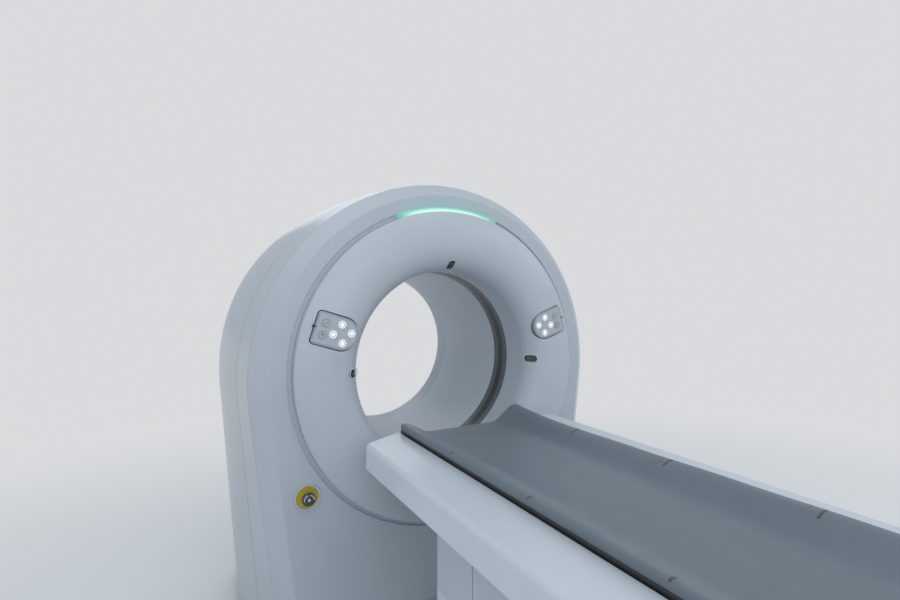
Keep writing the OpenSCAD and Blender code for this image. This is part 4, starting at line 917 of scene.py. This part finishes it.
class SCANNER_OT_pad(bpy.types.Operator):
    """Pad of the cradle, swollen by a cloth run, with the strap loops on its flanks"""
    bl_idname = "scanner.pad"
    bl_label = "Pad and straps"

    def vinyl(self, tint):
        f = Finish("pad_vinyl", Sheen_Weight=0.12, Sheen_Roughness=0.5, Coat_Roughness=0.4)
        pebble = f.cells(850.0, feature="SMOOTH_F1")
        crease = f.noise(1.0, 5.0, 0.6, f.place((38.0, 7.0, 38.0)))
        cloud = f.noise(2.2, 4.0, 0.6)
        use = f.noise(11.0, 6.0, 0.65).step(0.45, 0.8)
        shade = f.mix(cloud.step(0.3, 0.7), tinted(tint, 0.94), tinted(tint, 1.05))
        shade = f.mix(use * 0.22, shade, tinted(tint, 1.22))
        return f.wear(Base_Color=shade, Roughness=0.44 + (cloud - 0.5) * 0.1 - use * 0.05,
                      Coat_Weight=0.12 + use * 0.06,
                      Normal=f.bump(pebble, 0.22, 0.00012, f.bump(crease, 0.10, 0.0012)))

    def curl(self, sizes, x, y):
        """Rise of the right lip towards its front end, and a slow one towards the rear."""
        rise = sizes.curl * ramp(y, -0.60, 0.331) ** 2.2 + sizes.lean * ease(ramp(-y, 0.55, 1.0))
        return rise * ease(ramp(x, 0.115, 0.095))

    def skin(self, sizes, vinyl):
        """Closed sleeve of vinyl round the filling, on an even grid with rounded corners."""
        low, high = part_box("mattress")
        shrink = 0.0006
        base = sizes.pad_t - shrink * 0.2
        top, under = pad_side(sizes, shrink), pad_side(sizes, base)
        flat = [sizes.flat_half * i / 10 for i in range(-9, 10)]
        outline = ([(-x, z) for x, z in top[::-1]] + [(x, sizes.pad_top - shrink) for x in flat] + top
                   + under[::-1] + [(x, sizes.pad_top - base) for x in flat[::-1]]
                   + [(-x, z) for x, z in under])
        rows = 170
        widest = sizes.lip_x + sizes.lip_r
        bm = bmesh.new()
        rings = []
        for k in range(rows + 1):
            ring = []
            for x, z in outline:
                u = ramp(abs(x), widest - sizes.corner, sizes.corner)
                pull = 0.001 + sizes.corner * (1 - math.sqrt(1 - u * u * 0.96))
                y = low.y + pull + (high.y - low.y - 2 * pull) * k / rows
                ring.append(bm.verts.new((x, y, z + self.curl(sizes, x, y))))
            rings.append(ring)
        sleeve(bm, rings)
        count = len(outline)
        for ring in (rings[0], rings[-1]):
            for i in range(count // 2 - 1):
                bm.faces.new((ring[i], ring[i + 1], ring[count - 2 - i], ring[count - 1 - i]))
        return piece("pad", bm, vinyl, "cradle_body", "pad_vinyl", 180.0)

    def swell(self, pad, sizes, context):
        """Runs the cloth, keeps each point near its start and leaves the underside on the cradle."""
        start = [v.co.copy() for v in pad.data.vertices]
        cloth = pad.modifiers.new("Filling", "CLOTH")
        cloth.settings.use_pressure = True
        cloth.settings.uniform_pressure_force = 4.0
        cloth.settings.effector_weights.gravity = 0.0
        cloth.settings.quality = 4
        cloth.point_cache.frame_start = 1
        cloth.point_cache.frame_end = sizes.sim_steps
        for step in range(1, sizes.sim_steps + 1):
            context.scene.frame_set(step)
        graph = context.evaluated_depsgraph_get()
        settled = [v.co.copy() for v in pad.evaluated_get(graph).data.vertices]
        pad.modifiers.remove(cloth)
        context.scene.frame_set(1)
        for v, old, new in zip(pad.data.vertices, start, settled):
            move = new - old
            if move.length > sizes.swell:
                move *= sizes.swell / move.length
            x = abs(old.x)
            section = flank(sizes, min(max(x, sizes.flat_half), sizes.lip_x), sizes.pad_t * 0.5)
            if old.z - self.curl(sizes, old.x, old.y) >= section or x >= sizes.lip_x:
                v.co = old + move
        pad.data.update()

    def slacken(self, pad, sizes):
        """Lays the slack of the cover and the ripples of its lips into the upper face."""
        for v in pad.data.vertices:
            x, y, z = v.co
            section = flank(sizes, max(abs(x), sizes.flat_half), sizes.pad_t * 0.5)
            if z - self.curl(sizes, x, y) > section - 0.001:
                slack = noise.noise(Vector((x * 9.0, y * 3.2, 0.4))) * 0.0008
                ripple = noise.noise(Vector((x * 22.0, y * 4.6, 2.7))) * 0.0030
                v.co.z += slack + ripple * ramp(abs(x), 0.15, 0.06) ** 2 - 0.0006
        pad.data.update()

    def execute(self, context):
        sizes, tints = context.scene.scanner_sizes, context.scene.scanner_colours
        pad = self.skin(sizes, self.vinyl(tints.pad))
        self.swell(pad, sizes, context)
        self.slacken(pad, sizes)
        smooth = pad.modifiers.new("Round", "SUBSURF")
        smooth.levels = smooth.render_levels = 1
        tree = BVHTree.FromObject(pad, context.evaluated_depsgraph_get())
        for shade, factor, places in (("pale", 2.2, (-0.945, -1.303, -1.664)),
                                      ("dark", 0.9, (-0.621, -0.970, -1.331, -1.692))):
            name = f"strap_loops_{shade}"
            bm = bmesh.new()
            for y in places:
                for side in (-1, 1):
                    self.tape(bm, tree, side, y, sizes.strap_w, 0.0009)
            webbing = self.webbing(name, tinted(tints.strap, factor))
            piece(name, bm, webbing, "cradle_body", "pad_vinyl", 50.0)
        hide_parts("mattress")
        return {"FINISHED"}

    def tape(self, bm, tree, side, y, width, thick):
        """One loop of webbing laid on the inner flank of a lip, thin at both ends where it is sewn down."""
        rows = []
        # The left loops are shorter and lie nearer to their lip
        foot, reach = (0.196, 0.036) if side > 0 else (0.223, 0.016)
        for i in range(13):
            x = side * (foot + reach * i / 12)
            full = 0.35 if i in (0, 12) else 1.0
            row = []
            for w, h in ((-width / 2, -0.0004), (-width / 2 + 0.0004, thick), (0.0, thick * 1.12),
                         (width / 2 - 0.0004, thick), (width / 2, -0.0004)):
                point, normal = tree.ray_cast(Vector((x, y + w, 1.0)), Vector((0, 0, -1)))[:2]
                row.append(bm.verts.new(point + normal * h * full))
            rows.append(row)
        bar(bm, rows)

    def webbing(self, name, tint):
        f = Finish(name, Sheen_Weight=0.25)
        x, y, z = f.parts()
        warp = ((y * 5200.0).sine() * 0.5 + 0.5) * ((x * 3600.0 + z * 3600.0).sine() * 0.5 + 0.5)
        fuzz = f.noise(600.0, 3.0, 0.6)
        return f.wear(Base_Color=f.mix(warp * 0.7 + fuzz * 0.3, tinted(tint, 0.8), tinted(tint, 1.7)),
                      Roughness=0.72 + fuzz * 0.15, Normal=f.bump(warp, 0.5, 0.0004))


class SCANNER_PT_panel(bpy.types.Panel):
    """Lists the steps that dress the scanner"""
    bl_idname = "SCANNER_PT_panel"
    bl_label = "CT scanner"
    bl_space_type = "VIEW_3D"
    bl_region_type = "UI"
    bl_category = "Scanner"

    def draw(self, context):
        for step in STEPS:
            self.layout.operator(step.bl_idname)
        for group in (context.scene.scanner_sizes, context.scene.scanner_colours):
            box = self.layout.box()
            for name in group.__annotations__:
                box.prop(group, name)


STEPS = (SCANNER_OT_stage, SCANNER_OT_covers, SCANNER_OT_status, SCANNER_OT_lasers, SCANNER_OT_controls,
         SCANNER_OT_stop, SCANNER_OT_machinery, SCANNER_OT_table, SCANNER_OT_pad)
CLASSES = (ScannerSizes, ScannerColours, *STEPS, SCANNER_PT_panel)


def register():
    for made in CLASSES:
        bpy.utils.register_class(made)
    bpy.types.Scene.scanner_sizes = PointerProperty(type=ScannerSizes)
    bpy.types.Scene.scanner_colours = PointerProperty(type=ScannerColours)


def unregister():
    del bpy.types.Scene.scanner_colours
    del bpy.types.Scene.scanner_sizes
    for made in reversed(CLASSES):
        bpy.utils.unregister_class(made)


def main():
    register()
    for step in STEPS:
        family, name = step.bl_idname.split(".")
        result = getattr(getattr(bpy.ops, family), name)()
        if "FINISHED" not in result:
            raise RuntimeError(f"{step.bl_label} did not finish")


if __name__ == "__main__":
    main()
